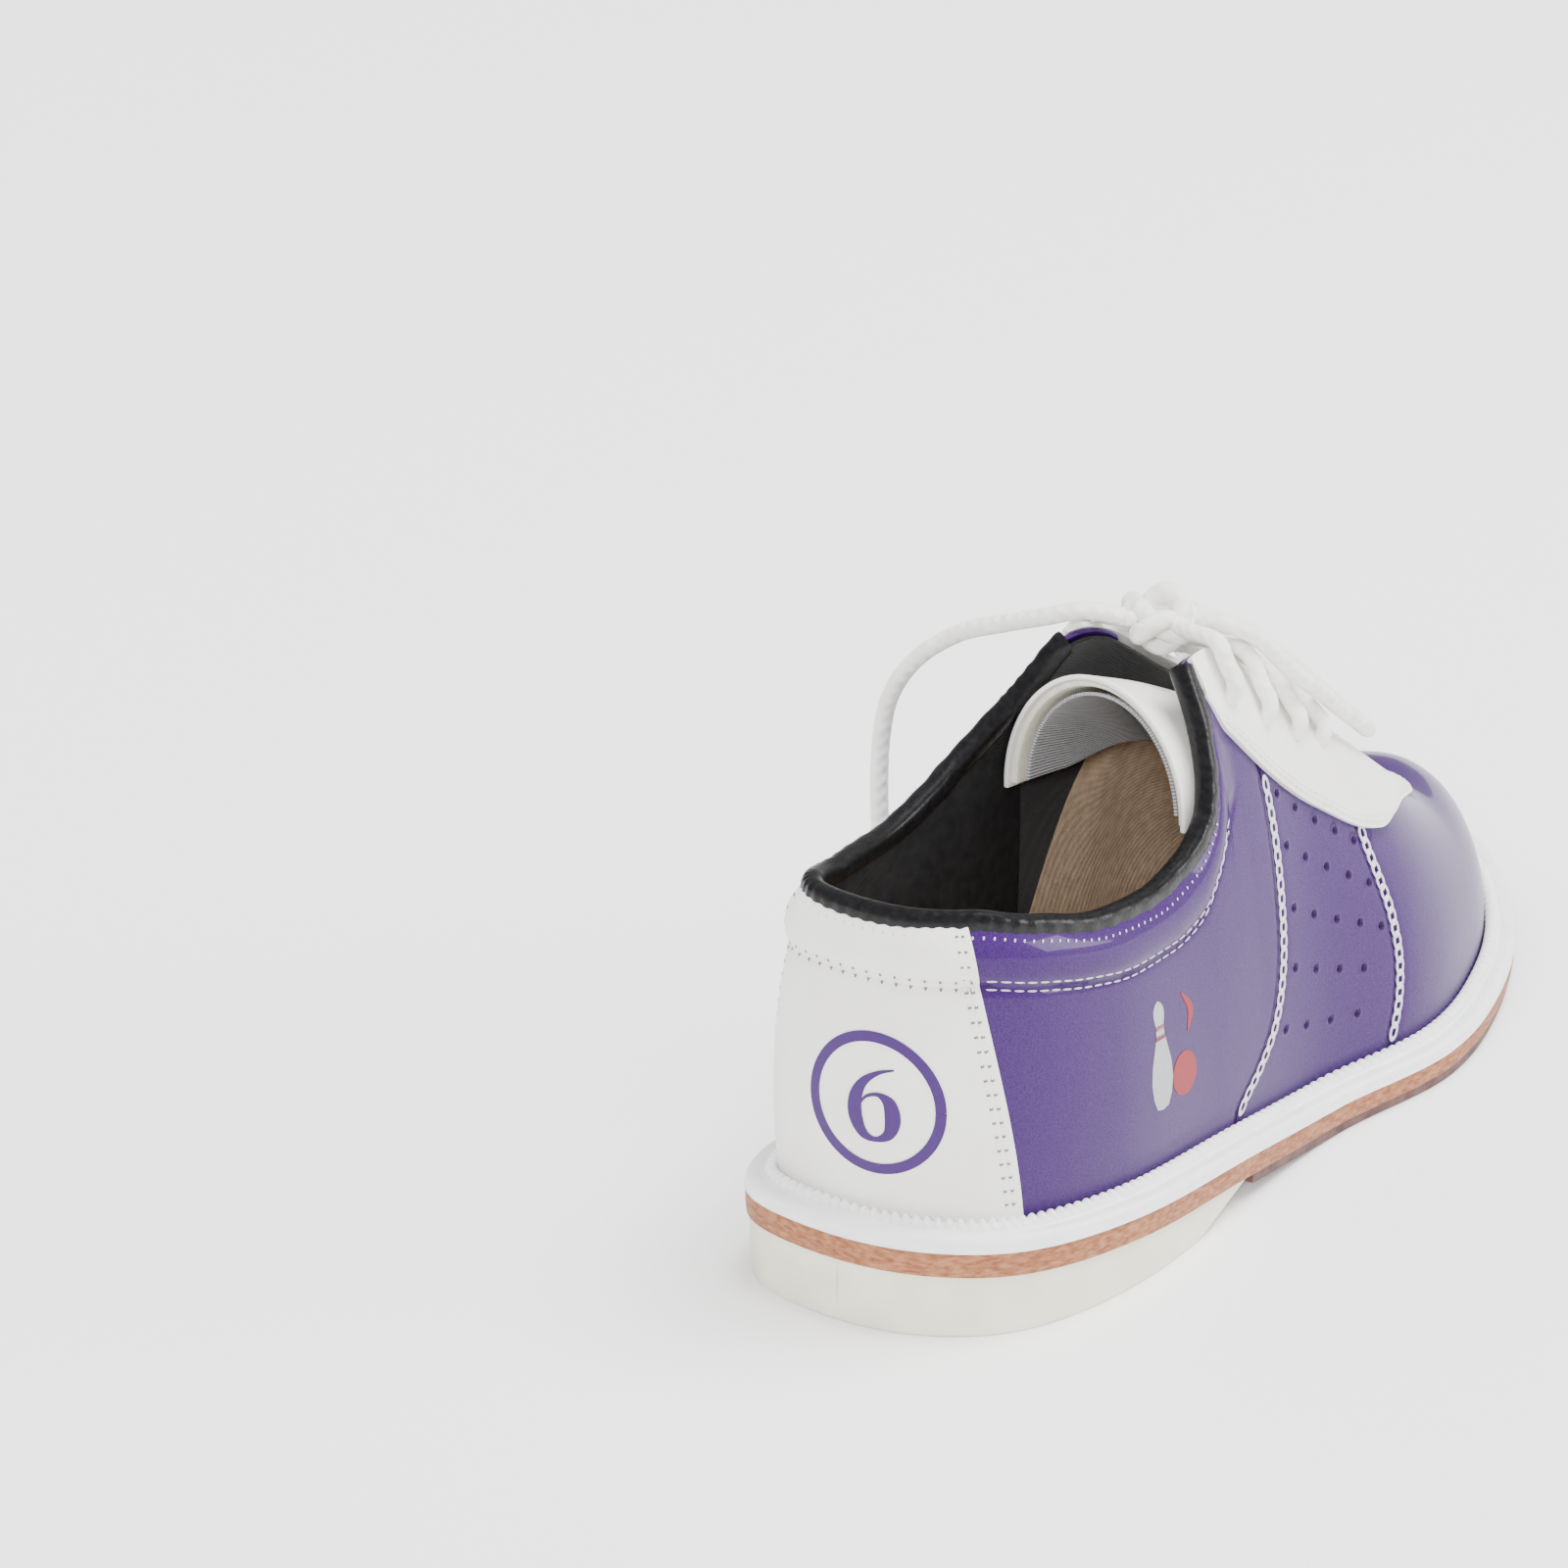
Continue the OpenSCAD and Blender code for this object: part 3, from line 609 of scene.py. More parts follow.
VIOLET, WHITE, WELT = pearl_violet(), white_leather(), white_welt()
CREAM, TAN, DARK, INSOLE = cream_rubber(), tan_leather(), dark_sole(), insole_brown()
BINDING = black_binding()
BLACK_KNIT = knit("black_knit", (0.005, 0.005, 0.0055), (0.012, 0.012, 0.013), 900, 0.35, 0.02)
DRILL = two_part_cloth()
GREY = ribbed_grey()
BRAID = braid()
PALE_THREAD = thread("pale_thread", (0.66, 0.62, 0.72))
# Near-black grey used as painted shade in the stitch holes of the white heel
STITCH_HOLE_SHADE = thread("stitch_hole_shade_grey", (0.13, 0.125, 0.12))
VIOLET_INK = ink("violet_ink", (0.045, 0.012, 0.115))
GREY_INK = ink("grey_ink", (0.38, 0.39, 0.40))
RED_INK = ink("red_ink", (0.26, 0.004, 0.010))


# ---------------------------------------------------------------- camera, floor and light
def aim(azimuth, elevation):
    a, e = math.radians(azimuth), math.radians(elevation)
    return np.array([math.sin(a) * math.cos(e), -math.cos(a) * math.cos(e), math.sin(e)])


CAMERA_AZ, CAMERA_EL, CAMERA_ROLL, CAMERA_FAR = 31.7, 24.7, -1.5, 1087
CAMERA_PAN, CAMERA_TILT, LENS = 5.16, -1.62, 107.0
LOOK_AT = np.array([0, 0, 45.0])


def make_camera():
    back = aim(CAMERA_AZ + CAMERA_PAN, CAMERA_EL + CAMERA_TILT)
    side_angle = math.radians(CAMERA_AZ + CAMERA_PAN)
    right = np.array([math.cos(side_angle), math.sin(side_angle), 0])
    up = np.cross(back, right)
    roll = math.radians(CAMERA_ROLL)
    across = right * math.cos(roll) + up * math.sin(roll)
    high = up * math.cos(roll) - right * math.sin(roll)
    where = metres(LOOK_AT + aim(CAMERA_AZ, CAMERA_EL) * CAMERA_FAR)
    data = bpy.data.cameras.new("camera")
    data.lens = LENS
    data.sensor_width = 36
    data.clip_start = 0.05
    camera = bpy.data.objects.new("camera", data)
    bpy.context.collection.objects.link(camera)
    camera.matrix_world = Matrix(((across[0], high[0], back[0], where[0]),
                                  (across[1], high[1], back[1], where[1]),
                                  (across[2], high[2], back[2], where[2]),
                                  (0, 0, 0, 1)))
    bpy.context.scene.camera = camera


def make_floor():
    clear_selection()
    bpy.ops.mesh.primitive_plane_add(size=6, location=(0, 0, -0.0002))
    floor = bpy.context.object
    floor.name = "studio_floor"
    floor.data.materials.append(material("studio_floor", (0.93, 0.93, 0.93), 0.7))


def softbox(name, where, power, size):
    data = bpy.data.lights.new(name, "AREA")
    data.shape = "RECTANGLE"
    data.size, data.size_y = size
    data.energy = power
    lamp = bpy.data.objects.new(name, data)
    bpy.context.collection.objects.link(lamp)
    lamp.location = where
    lamp.rotation_mode = "QUATERNION"
    lamp.rotation_quaternion = (Vector(where) - Vector((0, 0, 0.05))).to_track_quat("Z", "Y")


def sky(name, azimuth, elevation, strength, angle):
    """Very large, far and soft lamp that shows in no reflection."""
    data = bpy.data.lights.new(name, "SUN")
    data.energy = strength
    data.angle = math.radians(angle)
    lamp = bpy.data.objects.new(name, data)
    bpy.context.collection.objects.link(lamp)
    lamp.visible_glossy = False
    lamp.rotation_mode = "QUATERNION"
    lamp.rotation_quaternion = Vector(aim(azimuth, elevation)).to_track_quat("Z", "Y")


def make_light():
    sky("overhead", 140, 70, 6.5, 40)
    sky("high_front", 10, 50, 1.4, 40)
    sky("low_front", 28, 27, 3.0, 12)
    sky("inner_side", -70, 40, 0.8, 60)
    softbox("outer_side_softbox", (1.35, 0.9, 0.55), 15, (0.7, 0.5))
    softbox("top_softbox", (0.3, 0.7, 1.5), 4, (0.5, 1.0))
    world = bpy.data.worlds.new("studio")
    bpy.context.scene.world = world
    world.use_nodes = True
    world.node_tree.nodes["Background"].inputs["Color"].default_value = (1, 1, 1, 1)
    world.node_tree.nodes["Background"].inputs["Strength"].default_value = 0.38


make_camera()
make_floor()
make_light()

# ---------------------------------------------------------------- the lace
LACE_R = 2.5
LACE_FLAT = 0.82
KNOT = np.array([2, -8, 121.0])
LOOP_LATERAL = [
    (5.8, -1, 121.5), (12, 9, 115.5), (16.5, 20, 106.5), (18.5, 31, 96.5), (18.5, 41, 88.5),
    (19.5, 48.5, 82), (22.8, 49.5, 79.5), (25, 42.5, 84), (26, 32, 91), (26.5, 21, 99.3),
    (26, 10, 107.5), (20.5, 0, 119), (9.5, -5, 122)]
LOOP_MEDIAL = [
    (-4, -2.5, 121.5), (-7.5, 9, 117), (-13, 21, 108), (-18, 34, 96), (-22, 46, 85),
    (-26, 55, 76.5), (-29.5, 51, 76), (-28, 38, 86), (-24, 25, 98), (-19, 14, 110),
    (-13.5, 4, 118.5), (-6, -6.5, 122.5)]
END_REAR = [
    (-4, -14, 122.5), (-11.5, -19, 124), (-21, -20.5, 121), (-33, -19.5, 116.5), (-46, -18, 111),
    (-57, -19, 103), (-64, -20, 93), (-67, -20, 82), (-68, -20, 70), (-68, -20, 58)]
END_FRONT = [
    (0.6, 0, 121.5), (-1, 12, 115.5), (-3, 24, 107), (-6, 36, 96.5), (-9, 48, 86.5),
    (-13, 60, 76), (-18, 72, 67), (-23, 82, 59)]
EYELET_U = (4.62, 4.93, 5.22, 5.48)
EYELET_TH = (57, 56, 57.5, 60)
AGLET_R, AGLET_L = 2.2, 20
LACE_STEPS = 10


def lace_path(points, steps=LACE_STEPS):
    return spline(points, np.linspace(0, len(points) - 1, (len(points) - 1) * steps + 1))


def free_lace(name, points):
    path = lace_path(points)
    piece = sweep(name, path, LACE_R, 20, LACE_FLAT)
    finish_piece(piece, BRAID, "lace_cotton", name)
    tuple(metres(path[0]))
    [tuple(p) for p in metres(path)]
    return piece


def make_aglet(name, points):
    """Film tip: a smooth sleeve with a rolled edge and a pinched end."""
    end = np.array(points[-1], float)
    along = unit(end - np.array(points[-2], float))
    at = np.array([0, 0.3, 0.8, 1.6, 6, 12, 17, 19, 19.8, AGLET_L])
    size = np.array([1.0, 1.06, 1.06, 1.0, 0.98, 0.97, 0.95, 0.9, 0.75, 0.4]) * AGLET_R
    piece = sweep(name, end + along * at[:, None], size, 24)
    return finish_piece(piece, material("milky_film", (0.85, 0.85, 0.83), 0.22, Coat_Weight=0.6,
                                        Transmission_Weight=0.15), "clear_plastic", name)


LACE_LIE = APRON_GAP + APRON_T + LACE_R * LACE_FLAT + 0.1


def lace_side(u, th, outer):
    """Places of the lace on one side, out of its hole and up to the edge of the throat."""
    at = u if outer else STATIONS - u
    rise = [(0, -0.4), (1.2, LACE_LIE * 0.72), (3.5, LACE_LIE + 0.3), (7, LACE_LIE + 0.1)]
    places = [skin(at, th + a, off) for a, off in rise]
    return [*places, skin(at, float(edge(at)), LACE_LIE + 0.4)]


def make_crossings():
    """Lace over the throat, from a punched hole in one flap to its partner."""
    parts = []
    for u, th in list(zip(EYELET_U, EYELET_TH))[1:]:
        outer, inner = lace_side(u, th, True), lace_side(u, th, False)
        middle = (outer[-1] + inner[-1]) / 2 + np.array([0, 0, 0.6])
        route = lace_path([*outer, middle, *inner[::-1]], 8)
        parts.append(sweep("lace_part", route, LACE_R - 0.15, 18, LACE_FLAT))
    return parts


def make_knot():
    """The bow's knot: a wrap round a trefoil of lace."""
    t = np.linspace(0, 2 * math.pi, 121)[:-1]
    turn = np.stack([np.sin(t) + 2 * np.sin(2 * t), np.cos(t) - 2 * np.cos(2 * t), -1.1 * np.sin(3 * t)], -1)
    first = KNOT + turn * np.array([2.35, 2.35, 1.9]) + np.array([0, 0, -0.4])
    wrap = np.stack([4.6 * np.cos(t), 2.2 * np.sin(t) + 1, 5.4 * np.sin(t)], -1) + KNOT
    return [sweep("lace_part", first, LACE_R - 0.15, 18, 0.95, closed=True),
            sweep("lace_part", wrap, LACE_R, 18, 0.9, closed=True)]


def lace_leads():
    """From the top hole on each side up to the knot."""
    outer = [*lace_side(EYELET_U[0], EYELET_TH[0], True), np.array([13, -12, 121.5]), KNOT + (5, -1, 0)]
    inner = [*lace_side(EYELET_U[0], EYELET_TH[0], False), np.array([-8, -12.5, 121]), KNOT + (-5, -2, -0.5)]
    return [sweep("lace_part", lace_path(p, 8), LACE_R - 0.1, 18, LACE_FLAT) for p in (outer, inner)]


def join_parts(name, parts):
    clear_selection()
    for p in parts:
        p.select_set(True)
    bpy.context.view_layer.objects.active = parts[0]
    bpy.ops.object.join()
    piece = bpy.context.object
    piece.name = name
    piece.data.name = name
    return piece


aglets = {name: make_aglet(name, points) for name, points in
          (("aglet_rear", END_REAR), ("aglet_front", END_FRONT))}
free_lace("lace_loop_lateral", LOOP_LATERAL)
free_lace("lace_loop_medial", LOOP_MEDIAL)
free_lace("lace_end_rear", END_REAR)
free_lace("lace_end_front", END_FRONT)
finish_piece(join_parts("lace_crossings", make_crossings() + lace_leads()), BRAID, "lace_cotton",
             "lace_crossings")
finish_piece(join_parts("lace_knot", make_knot()), BRAID, "lace_cotton", "lace_knot")


# ---------------------------------------------------------------- sole
def slab(name, first, final, columns, inset, low, high, ribs=10, final_low=None, bow=0.0):
    """Slice of the sole between two stations: a closed band with its top and its underside."""
    final_low = final if final_low is None else final_low

    def across(u, k, inset_here):
        a, b = rim(u, inset_here)[0], rim(STATIONS - u, inset_here)[0]
        return mix(a, b, k[..., None])

    def place(s, r):
        # r runs round the section: top, inner side, underside, outer side
        part = np.clip(np.floor(r * 4), 0, 3).astype(int)
        f = r * 4 - part
        k = np.select([part == 0, part == 1, part == 2], [f, np.ones_like(f), 1 - f], 0.0)
        drop = np.select([part == 0, part == 1, part == 2], [np.zeros_like(f), f, np.ones_like(f)], 1 - f)
        u = mix(mix(first, final, s), mix(first, final_low, s), drop)
        xy = across(u, k, inset - bow * np.sin(np.pi * drop))
        z = mix(high(xy[..., 1]), low(xy[..., 1]), drop)
        return np.concatenate([xy, z[..., None]], -1)

    piece = grid(name, place, columns, 4 * ribs, weld=True)
    activate(piece)
    bpy.ops.object.mode_set(mode="EDIT")
    bpy.ops.mesh.select_all(action="DESELECT")
    bpy.ops.mesh.select_mode(type="EDGE")
    bpy.ops.mesh.select_non_manifold()
    bpy.ops.mesh.edge_face_add()
    bpy.ops.mesh.select_all(action="SELECT")
    bpy.ops.mesh.normals_make_consistent(inside=False)
    bpy.ops.mesh.select_mode(type="VERT")
    bpy.ops.object.mode_set(mode="OBJECT")
    return piece


END_U = 0.02


def rounded(piece, width, segments=3, angle=50):
    return modify(piece, "BEVEL", width=width * MM, segments=segments, limit_method="ANGLE",
                  angle_limit=math.radians(angle))


def make_sole():
    heel = slab("heel_block", END_U, 4.05, 110, 0.9, lambda y: 0 * y,
                lambda y: top_of_sole(y) - midsole_t(y), final_low=3.55, bow=0.3)
    finish_piece(rounded(heel, 0.8), CREAM, "cream_rubber", "heel_block")
    slide = slab("slide_sole", 4.07, TOE - END_U, 110, 0.6,
                 lambda y: np.maximum(top_of_sole(y) - midsole_t(y) - SLIDE_T, 0),
                 lambda y: top_of_sole(y) - midsole_t(y))
    finish_piece(rounded(slide, 0.5), DARK, "dark_sole", "slide_sole")
    middle = slab("midsole", END_U, TOE - END_U, 200, 0.0, lambda y: top_of_sole(y) - midsole_t(y),
                  top_of_sole, bow=0.15)
    finish_piece(rounded(middle, 0.45), TAN, "tan_leather", "midsole")
    insole = slab("insole_board", 0.2, TOE - 0.2, 110, 11.2, lambda y: top_of_sole(y) + 1.7,
                  lambda y: top_of_sole(y) + 4.2)
    finish_piece(rounded(insole, 0.5), INSOLE, "insole", "insole_board")


# Section of the welt: inset from the sole's edge and height over the midsole
WELT_SECTION = [
    (0.05, 0.05), (-0.1, 0.9), (0.0, 1.9), (0.25, 3.0), (0.9, 3.65), (2.0, 3.75), (2.9, 3.7), (3.35, 3.35),
    (3.7, 3.3), (4.05, 3.7), (4.3, 4.7), (4.8, 5.45), (5.5, 5.75), (6.3, 5.6), (6.9, 5.0), (7.15, 4.2),
    (7.2, 2.0), (7.2, 0.1), (3.5, 0.05)]
BEAD_PITCH, BEAD_DEEP, BEAD_LEAN = 2.7, 1.25, 0.25


def make_welt():
    """White welt: a flat edge, a groove and a beaded ridge against the upper."""
    steps = 2400
    u = np.arange(steps) / steps * STATIONS
    edge_line = rim(u)[0]
    closed = np.vstack([edge_line, edge_line[:1]])
    run = distance_along(closed)
    beads = round(run[-1] / BEAD_PITCH)
    phase = run[:-1] / run[-1] * beads
    notch = 1 - np.abs(np.cos(math.pi * phase)) ** 3
    section = spline(WELT_SECTION, np.linspace(0, len(WELT_SECTION), 44, endpoint=False), True)
    points = []
    for inset, height in section:
        share = ease((height - 3.9) / 1.2) * (inset < 7.1)
        sink = share * (1 - notch) * BEAD_DEEP
        xy = rim(u, np.full(steps, inset) + share * (1 - notch) * BEAD_LEAN)[0]
        z = top_of_sole(edge_line[:, 1]) + height - sink
        points.append(np.concatenate([xy, z[:, None]], -1))
    points = np.stack(points, 1).reshape(-1, 3)
    m = len(section)
    faces = [(i * m + k, i * m + (k + 1) % m, (i + 1) % steps * m + (k + 1) % m, (i + 1) % steps * m + k)
             for i in range(steps) for k in range(m)]
    mesh = bpy.data.meshes.new("welt")
    mesh.from_pydata([tuple(p) for p in metres(points)], [], faces)
    mesh.update()
    piece = bpy.data.objects.new("welt", mesh)
    bpy.context.collection.objects.link(piece)
    activate(piece)
    bpy.ops.object.mode_set(mode="EDIT")
    bpy.ops.mesh.select_all(action="SELECT")
    bpy.ops.mesh.normals_make_consistent(inside=False)
    bpy.ops.object.mode_set(mode="OBJECT")
    finish_piece(piece, WELT, "white_rubber", "welt", smooth_angle=60)


make_sole()
make_welt()


# ---------------------------------------------------------------- upper
def panel_place(start, stop, low, high, off=None):
    """Place of a panel between two seams; start and stop are stations by height angle."""
    def place(s, r):
        top = high(mix(start(40 + 0 * s), stop(40 + 0 * s), s))
        ub = mix(start(0 * s), stop(0 * s), s)
        th = mix(low(ub), top, r)
        u = mix(start(th), stop(th), s)
        return skin(u, th, off(u, th) if off else 0 * u)
    return place


def seam(pairs, side=1, shift=0.0):
    return lambda th: side * (smooth(pairs, th) + shift)


GAP = 0.006
HOLE_ROWS = [(43.0, 37.0), (34.5, 29.0), (25.0, 21.0), (16.5, 13.5), (8.5, 6.5)]
HOLE_SHARES = (0.13, 0.32, 0.51, 0.70, 0.88)
HOLE_R, HOLE_DEEP = 0.75, 0.9


def perforation_centres(side):
    centres = []
    for a, b in HOLE_ROWS:
        for share in HOLE_SHARES:
            th = mix(a, b, share)
            u = mix(smooth(REAR_SEAM, th), smooth(FRONT_SEAM, th), share)
            if th < 14 and share > 0.8:
                continue
            centres.append(last(side * u, th))
    return np.array(centres)


def side_relief(side):
    """Punched holes as round pits, and edges that dip under their neighbours."""
    centres = perforation_centres(side)

    def off(u, th):
        p = last(u, th)
        d = np.min(np.linalg.norm(p[:, None] - centres[None], axis=-1), axis=1)
        pit = -HOLE_DEEP * ease((HOLE_R + 0.25 - d) / 0.5)
        lip = 0.10 * np.exp(-(((d - HOLE_R - 0.45) / 0.35) ** 2))
        a, b = smooth(REAR_SEAM, th), smooth(FRONT_SEAM, th)
        v = from_heel(u)
        dip = -0.5 * np.exp(-((v - a) * 30 / 1.3) ** 2) - 0.35 * np.exp(-((b - v) * 30 / 1.3) ** 2)
        return pit + lip + dip
    return off


def paint_hole_shade(piece, side):
    """Attribute of painted shade that darkens the bottom of each punched hole and a little round its edge."""
    co = np.empty(len(piece.data.vertices) * 3)
    piece.data.vertices.foreach_get("co", co)
    d = np.full(len(co) // 3, 99.0)
    co = co.reshape(-1, 3) / MM - CENTRED
    for c in perforation_centres(side):
        d = np.minimum(d, np.linalg.norm(co - c, axis=1))
    hole_shade = piece.data.attributes.new("punched_hole_shade", "FLOAT", "POINT")
    hole_shade.data.foreach_set("value", 0.9 * ease((HOLE_R + 0.55 - d) / 0.6).astype(np.float32))


def perforated_violet():
    m = pearl_violet()
    m.name = "perforated_violet_leather"
    shader = m.node_tree.nodes["Principled BSDF"]
    colour = shader.inputs["Base Color"].links[0].from_socket
    hole_shade = node(m, "ShaderNodeAttribute", attribute_name="punched_hole_shade")
    blend = node(m, "ShaderNodeMix", data_type="RGBA")
    m.node_tree.links.new(hole_shade.outputs["Fac"], blend.inputs["Factor"])
    m.node_tree.links.new(colour, blend.inputs[6])
    # Painted shade: dark violet blended in where the hole shade attribute is set, inside and round each
    # punched hole
    blend.inputs[7].default_value = (0.02, 0.01, 0.035, 1)
    m.node_tree.links.new(blend.outputs[2], shader.inputs["Base Color"])
    return m


def dipped(pairs, distance=1.2, deep=0.5):
    """Leather that dips towards a seam."""
    def off(u, th):
        gap = (smooth(pairs, th) - from_heel(u)) * 30
        return -deep * np.exp(-(gap / distance) ** 2)
    return off


def quarter_relief(u, th):
    return relief(u, th) + dipped(REAR_SEAM)(u, th)


def heel_relief(u, th):
    """The heel panel laps over the quarters, so it stands a little proud."""
    near = (smooth(HEEL_SEAM, th) - from_heel(u)) * 22
    return relief(u, th) + 0.55 * ease((26 - near) / 20) - 0.12 * np.exp(-((near - 3.1) / 1.7) ** 2)


def make_upper():
    stops = lambda u: np.minimum(edge(u), 72)
    for side, name in ((1, "lateral"), (-1, "medial")):
        def ordered(a, b):
            return (a, b) if side > 0 else (b, a)
        ends = ordered(seam(HEEL_SEAM, side, -0.12), seam(REAR_SEAM, side, -GAP))
        quarter = grid(f"quarter_{name}", panel_place(*ends, foot, stops, quarter_relief), 190, 110)
        finish_piece(thicken(quarter, LEATHER_T), VIOLET, "purple_leather", f"quarter_{name}")
        ends = ordered(seam(REAR_SEAM, side, GAP), seam(FRONT_SEAM, side, -GAP))
        below_apron = lambda u: np.minimum(smooth(APRON_LOW, from_heel(u)) + 7, 62)
        flank = grid(f"side_panel_{name}", panel_place(*ends, foot, below_apron, side_relief(side)), 150, 170)
        paint_hole_shade(flank, side)
        finish_piece(thicken(flank, LEATHER_T, 0.25), PERFORATED, "purple_leather", f"side_panel_{name}",
                     smooth_angle=80)
    heel = grid("heel_panel", panel_place(seam(HEEL_SEAM, -1, 0), seam(HEEL_SEAM, 1, 0), foot,
                                          lambda u: np.minimum(edge(u), 89), heel_relief), 150, 110)
    finish_piece(thicken(heel, LEATHER_T + 0.4), WHITE, "white_leather", "heel_panel")
    make_vamp()


def make_vamp():
    """Toe cap in bands from the outer side over the ridge to the inner side."""
    def place(s, r):
        side = np.where(r < 0.5, 1, -1)
        f = 1 - np.abs(2 * r - 1)
        base = mix(smooth(FRONT_SEAM, 0) + GAP, TOE, s)
        v = np.where(side > 0, base, STATIONS - base)
        th = mix(foot(v), 90, f)
        start = smooth(FRONT_SEAM, th) + GAP
        w = mix(start, TOE, s)
        dip = -0.5 * np.exp(-(((w - start) * 30) / 1.2) ** 2)
        a = skin(np.where(side > 0, w, STATIONS - w), th, dip)
        top = (skin(w, 90 + 0 * th, dip) + skin(STATIONS - w, 90 + 0 * th, dip)) / 2
        return np.where((f > 0.999)[:, None], top, a)
    piece = grid("vamp", place, 120, 160, weld=True)
    finish_piece(thicken(piece, LEATHER_T), VIOLET, "purple_leather", "vamp", smooth_angle=80)


def make_apron():
    halves = []
    for side in (1, -1):
        def place(s, r):
            v = mix(APRON_START, APRON_END, s) if side > 0 else mix(APRON_END, APRON_START, s)
            low = np.minimum(smooth(APRON_LOW, v), 89.99)
            high = np.clip(smooth(EDGE_LATERAL, v), low + 0.005, 90)
            th = mix(low, high, r)
            u = v if side > 0 else STATIONS - v
            lift = APRON_T + APRON_GAP - 0.35 * np.exp(-((th - low) / 1.6) ** 2)
            p = skin(u, th, lift)
            top = (skin(v, 90 + 0 * v, lift) + skin(STATIONS - v, 90 + 0 * v, lift)) / 2
            return np.where((th > 89.98)[:, None], top, p)
        halves.append(grid("apron_half", place, 170, 60))
    piece = join_parts("lace_apron", halves)
    activate(piece)
    bpy.ops.object.mode_set(mode="EDIT")
    bpy.ops.mesh.select_all(action="SELECT")
    bpy.ops.mesh.remove_doubles(threshold=0.03 * MM)
    bpy.ops.mesh.dissolve_degenerate(threshold=0.01 * MM)
    bpy.ops.object.mode_set(mode="OBJECT")
    finish_piece(thicken(piece, APRON_T, 0.35), WHITE, "white_leather", "lace_apron", smooth_angle=70)


def make_binding():
    """Soft black strip folded over the edge of the foot opening."""
    u = np.concatenate([np.linspace(-4.38, -4.1, 40), np.linspace(-4.09, 4.09, 300),
                        np.linspace(4.1, 4.38, 40)])
    top = edge(u)
    section = [(-2.3, 0.1), (-1.2, 0.75), (0.4, 1.05), (1.9, 0.75), (2.75, -0.5), (2.85, -2.0), (2.3, -3.3),
               (1.2, -3.95), (-1.5, -4.1), (-1.6, -3.3), (0.6, -1.6)]
    ring = spline(section, np.linspace(0, len(section), 26, endpoint=False), True)
    out = normal(u, top)
    ahead = skin(u + 0.03, edge(u + 0.03), 0 * u) - skin(u - 0.03, edge(u - 0.03), 0 * u)
    rise = unit(np.cross(out, ahead))
    base = skin(u, top, 0 * u) - 0.6 * rise
    n, m = len(u), len(ring)
    pucker = 0.10 * np.sin(np.arange(n) * 0.9)
    points = (base[:, None] + ring[None, :, :1] * rise[:, None] + (ring[None, :, 1:] + 0.4) * out[:, None]
              + pucker[:, None, None] * out[:, None] * (ring[None, :, 1:] > 0.3))
    faces = [(i * m + k, i * m + (k + 1) % m, (i + 1) * m + (k + 1) % m, (i + 1) * m + k)
             for i in range(n - 1) for k in range(m)]
    faces += [tuple(range(m)), tuple((n - 1) * m + k for k in range(m))[::-1]]
    mesh = bpy.data.meshes.new("topline_binding")
    mesh.from_pydata([tuple(p) for p in metres(points.reshape(-1, 3))], [], faces)
    mesh.update()
    piece = bpy.data.objects.new("topline_binding", mesh)
    bpy.context.collection.objects.link(piece)
    activate(piece)
    bpy.ops.object.mode_set(mode="EDIT")
    bpy.ops.mesh.select_all(action="SELECT")
    bpy.ops.mesh.normals_make_consistent(inside=False)
    bpy.ops.object.mode_set(mode="OBJECT")
    finish_piece(piece, BINDING, "black_binding", "topline_binding", smooth_angle=60)


def make_linings():
    rear = grid("quarter_lining", panel_place(lambda th: -4.26 + 0 * th, lambda th: 4.26 + 0 * th, foot,
                                              lambda u: np.minimum(edge(u), 72) - 0.4,
                                              lambda u, th: LINING_TOP + 0 * u), 200, 60)
    finish_piece(thicken(rear, LINING_T, 0), BLACK_KNIT, "black_lining", "quarter_lining")
    halves = []
    for side in (1, -1):
        ends = ((lambda th: 4.28 + 0 * th, lambda th: TOE + 0 * th) if side > 0 else
                (lambda th: TOE + 0 * th, lambda th: STATIONS - 4.28 + 0 * th))
        halves.append(grid("lining_half", panel_place(*ends, foot, lambda u: np.minimum(edge(u), 90),
                                                      lambda u, th: LINING_TOP + 0 * u), 110, 60))
    front = join_parts("vamp_lining", halves)
    finish_piece(thicken(front, LINING_T, 0), DRILL, "canvas_lining", "vamp_lining")


PERFORATED = perforated_violet()
make_upper()
make_apron()
make_binding()
make_linings()

# ---------------------------------------------------------------- tongue
TONGUE_X = [(0, 3), (0.5, 3.5), (1, 1.8)]
TONGUE_Y = [(0, 44), (0.5, 3), (1, -36)]
TONGUE_Z = [(0, 72.5), (0.25, 86), (0.5, 97.5), (0.75, 107.5), (1, 115.5)]
TONGUE_HALF = [(0, 13), (0.25, 17), (0.5, 20.5), (1, 22.8)]
TONGUE_DROP = [(0, 8), (0.5, 18), (1, 30)]
TONGUE_SPREAD = [(0, 62), (0.5, 75), (0.8, 92), (1, 92)]


def tongue_at(s, a, d):
    f = np.radians(smooth(TONGUE_SPREAD, s) * a)
    half, drop = smooth(TONGUE_HALF, s) - d, smooth(TONGUE_DROP, s) - d
    return np.stack([smooth(TONGUE_X, s) + half * np.sin(f), smooth(TONGUE_Y, s),
                     smooth(TONGUE_Z, s) - d - drop * (1 - np.cos(f))], -1)


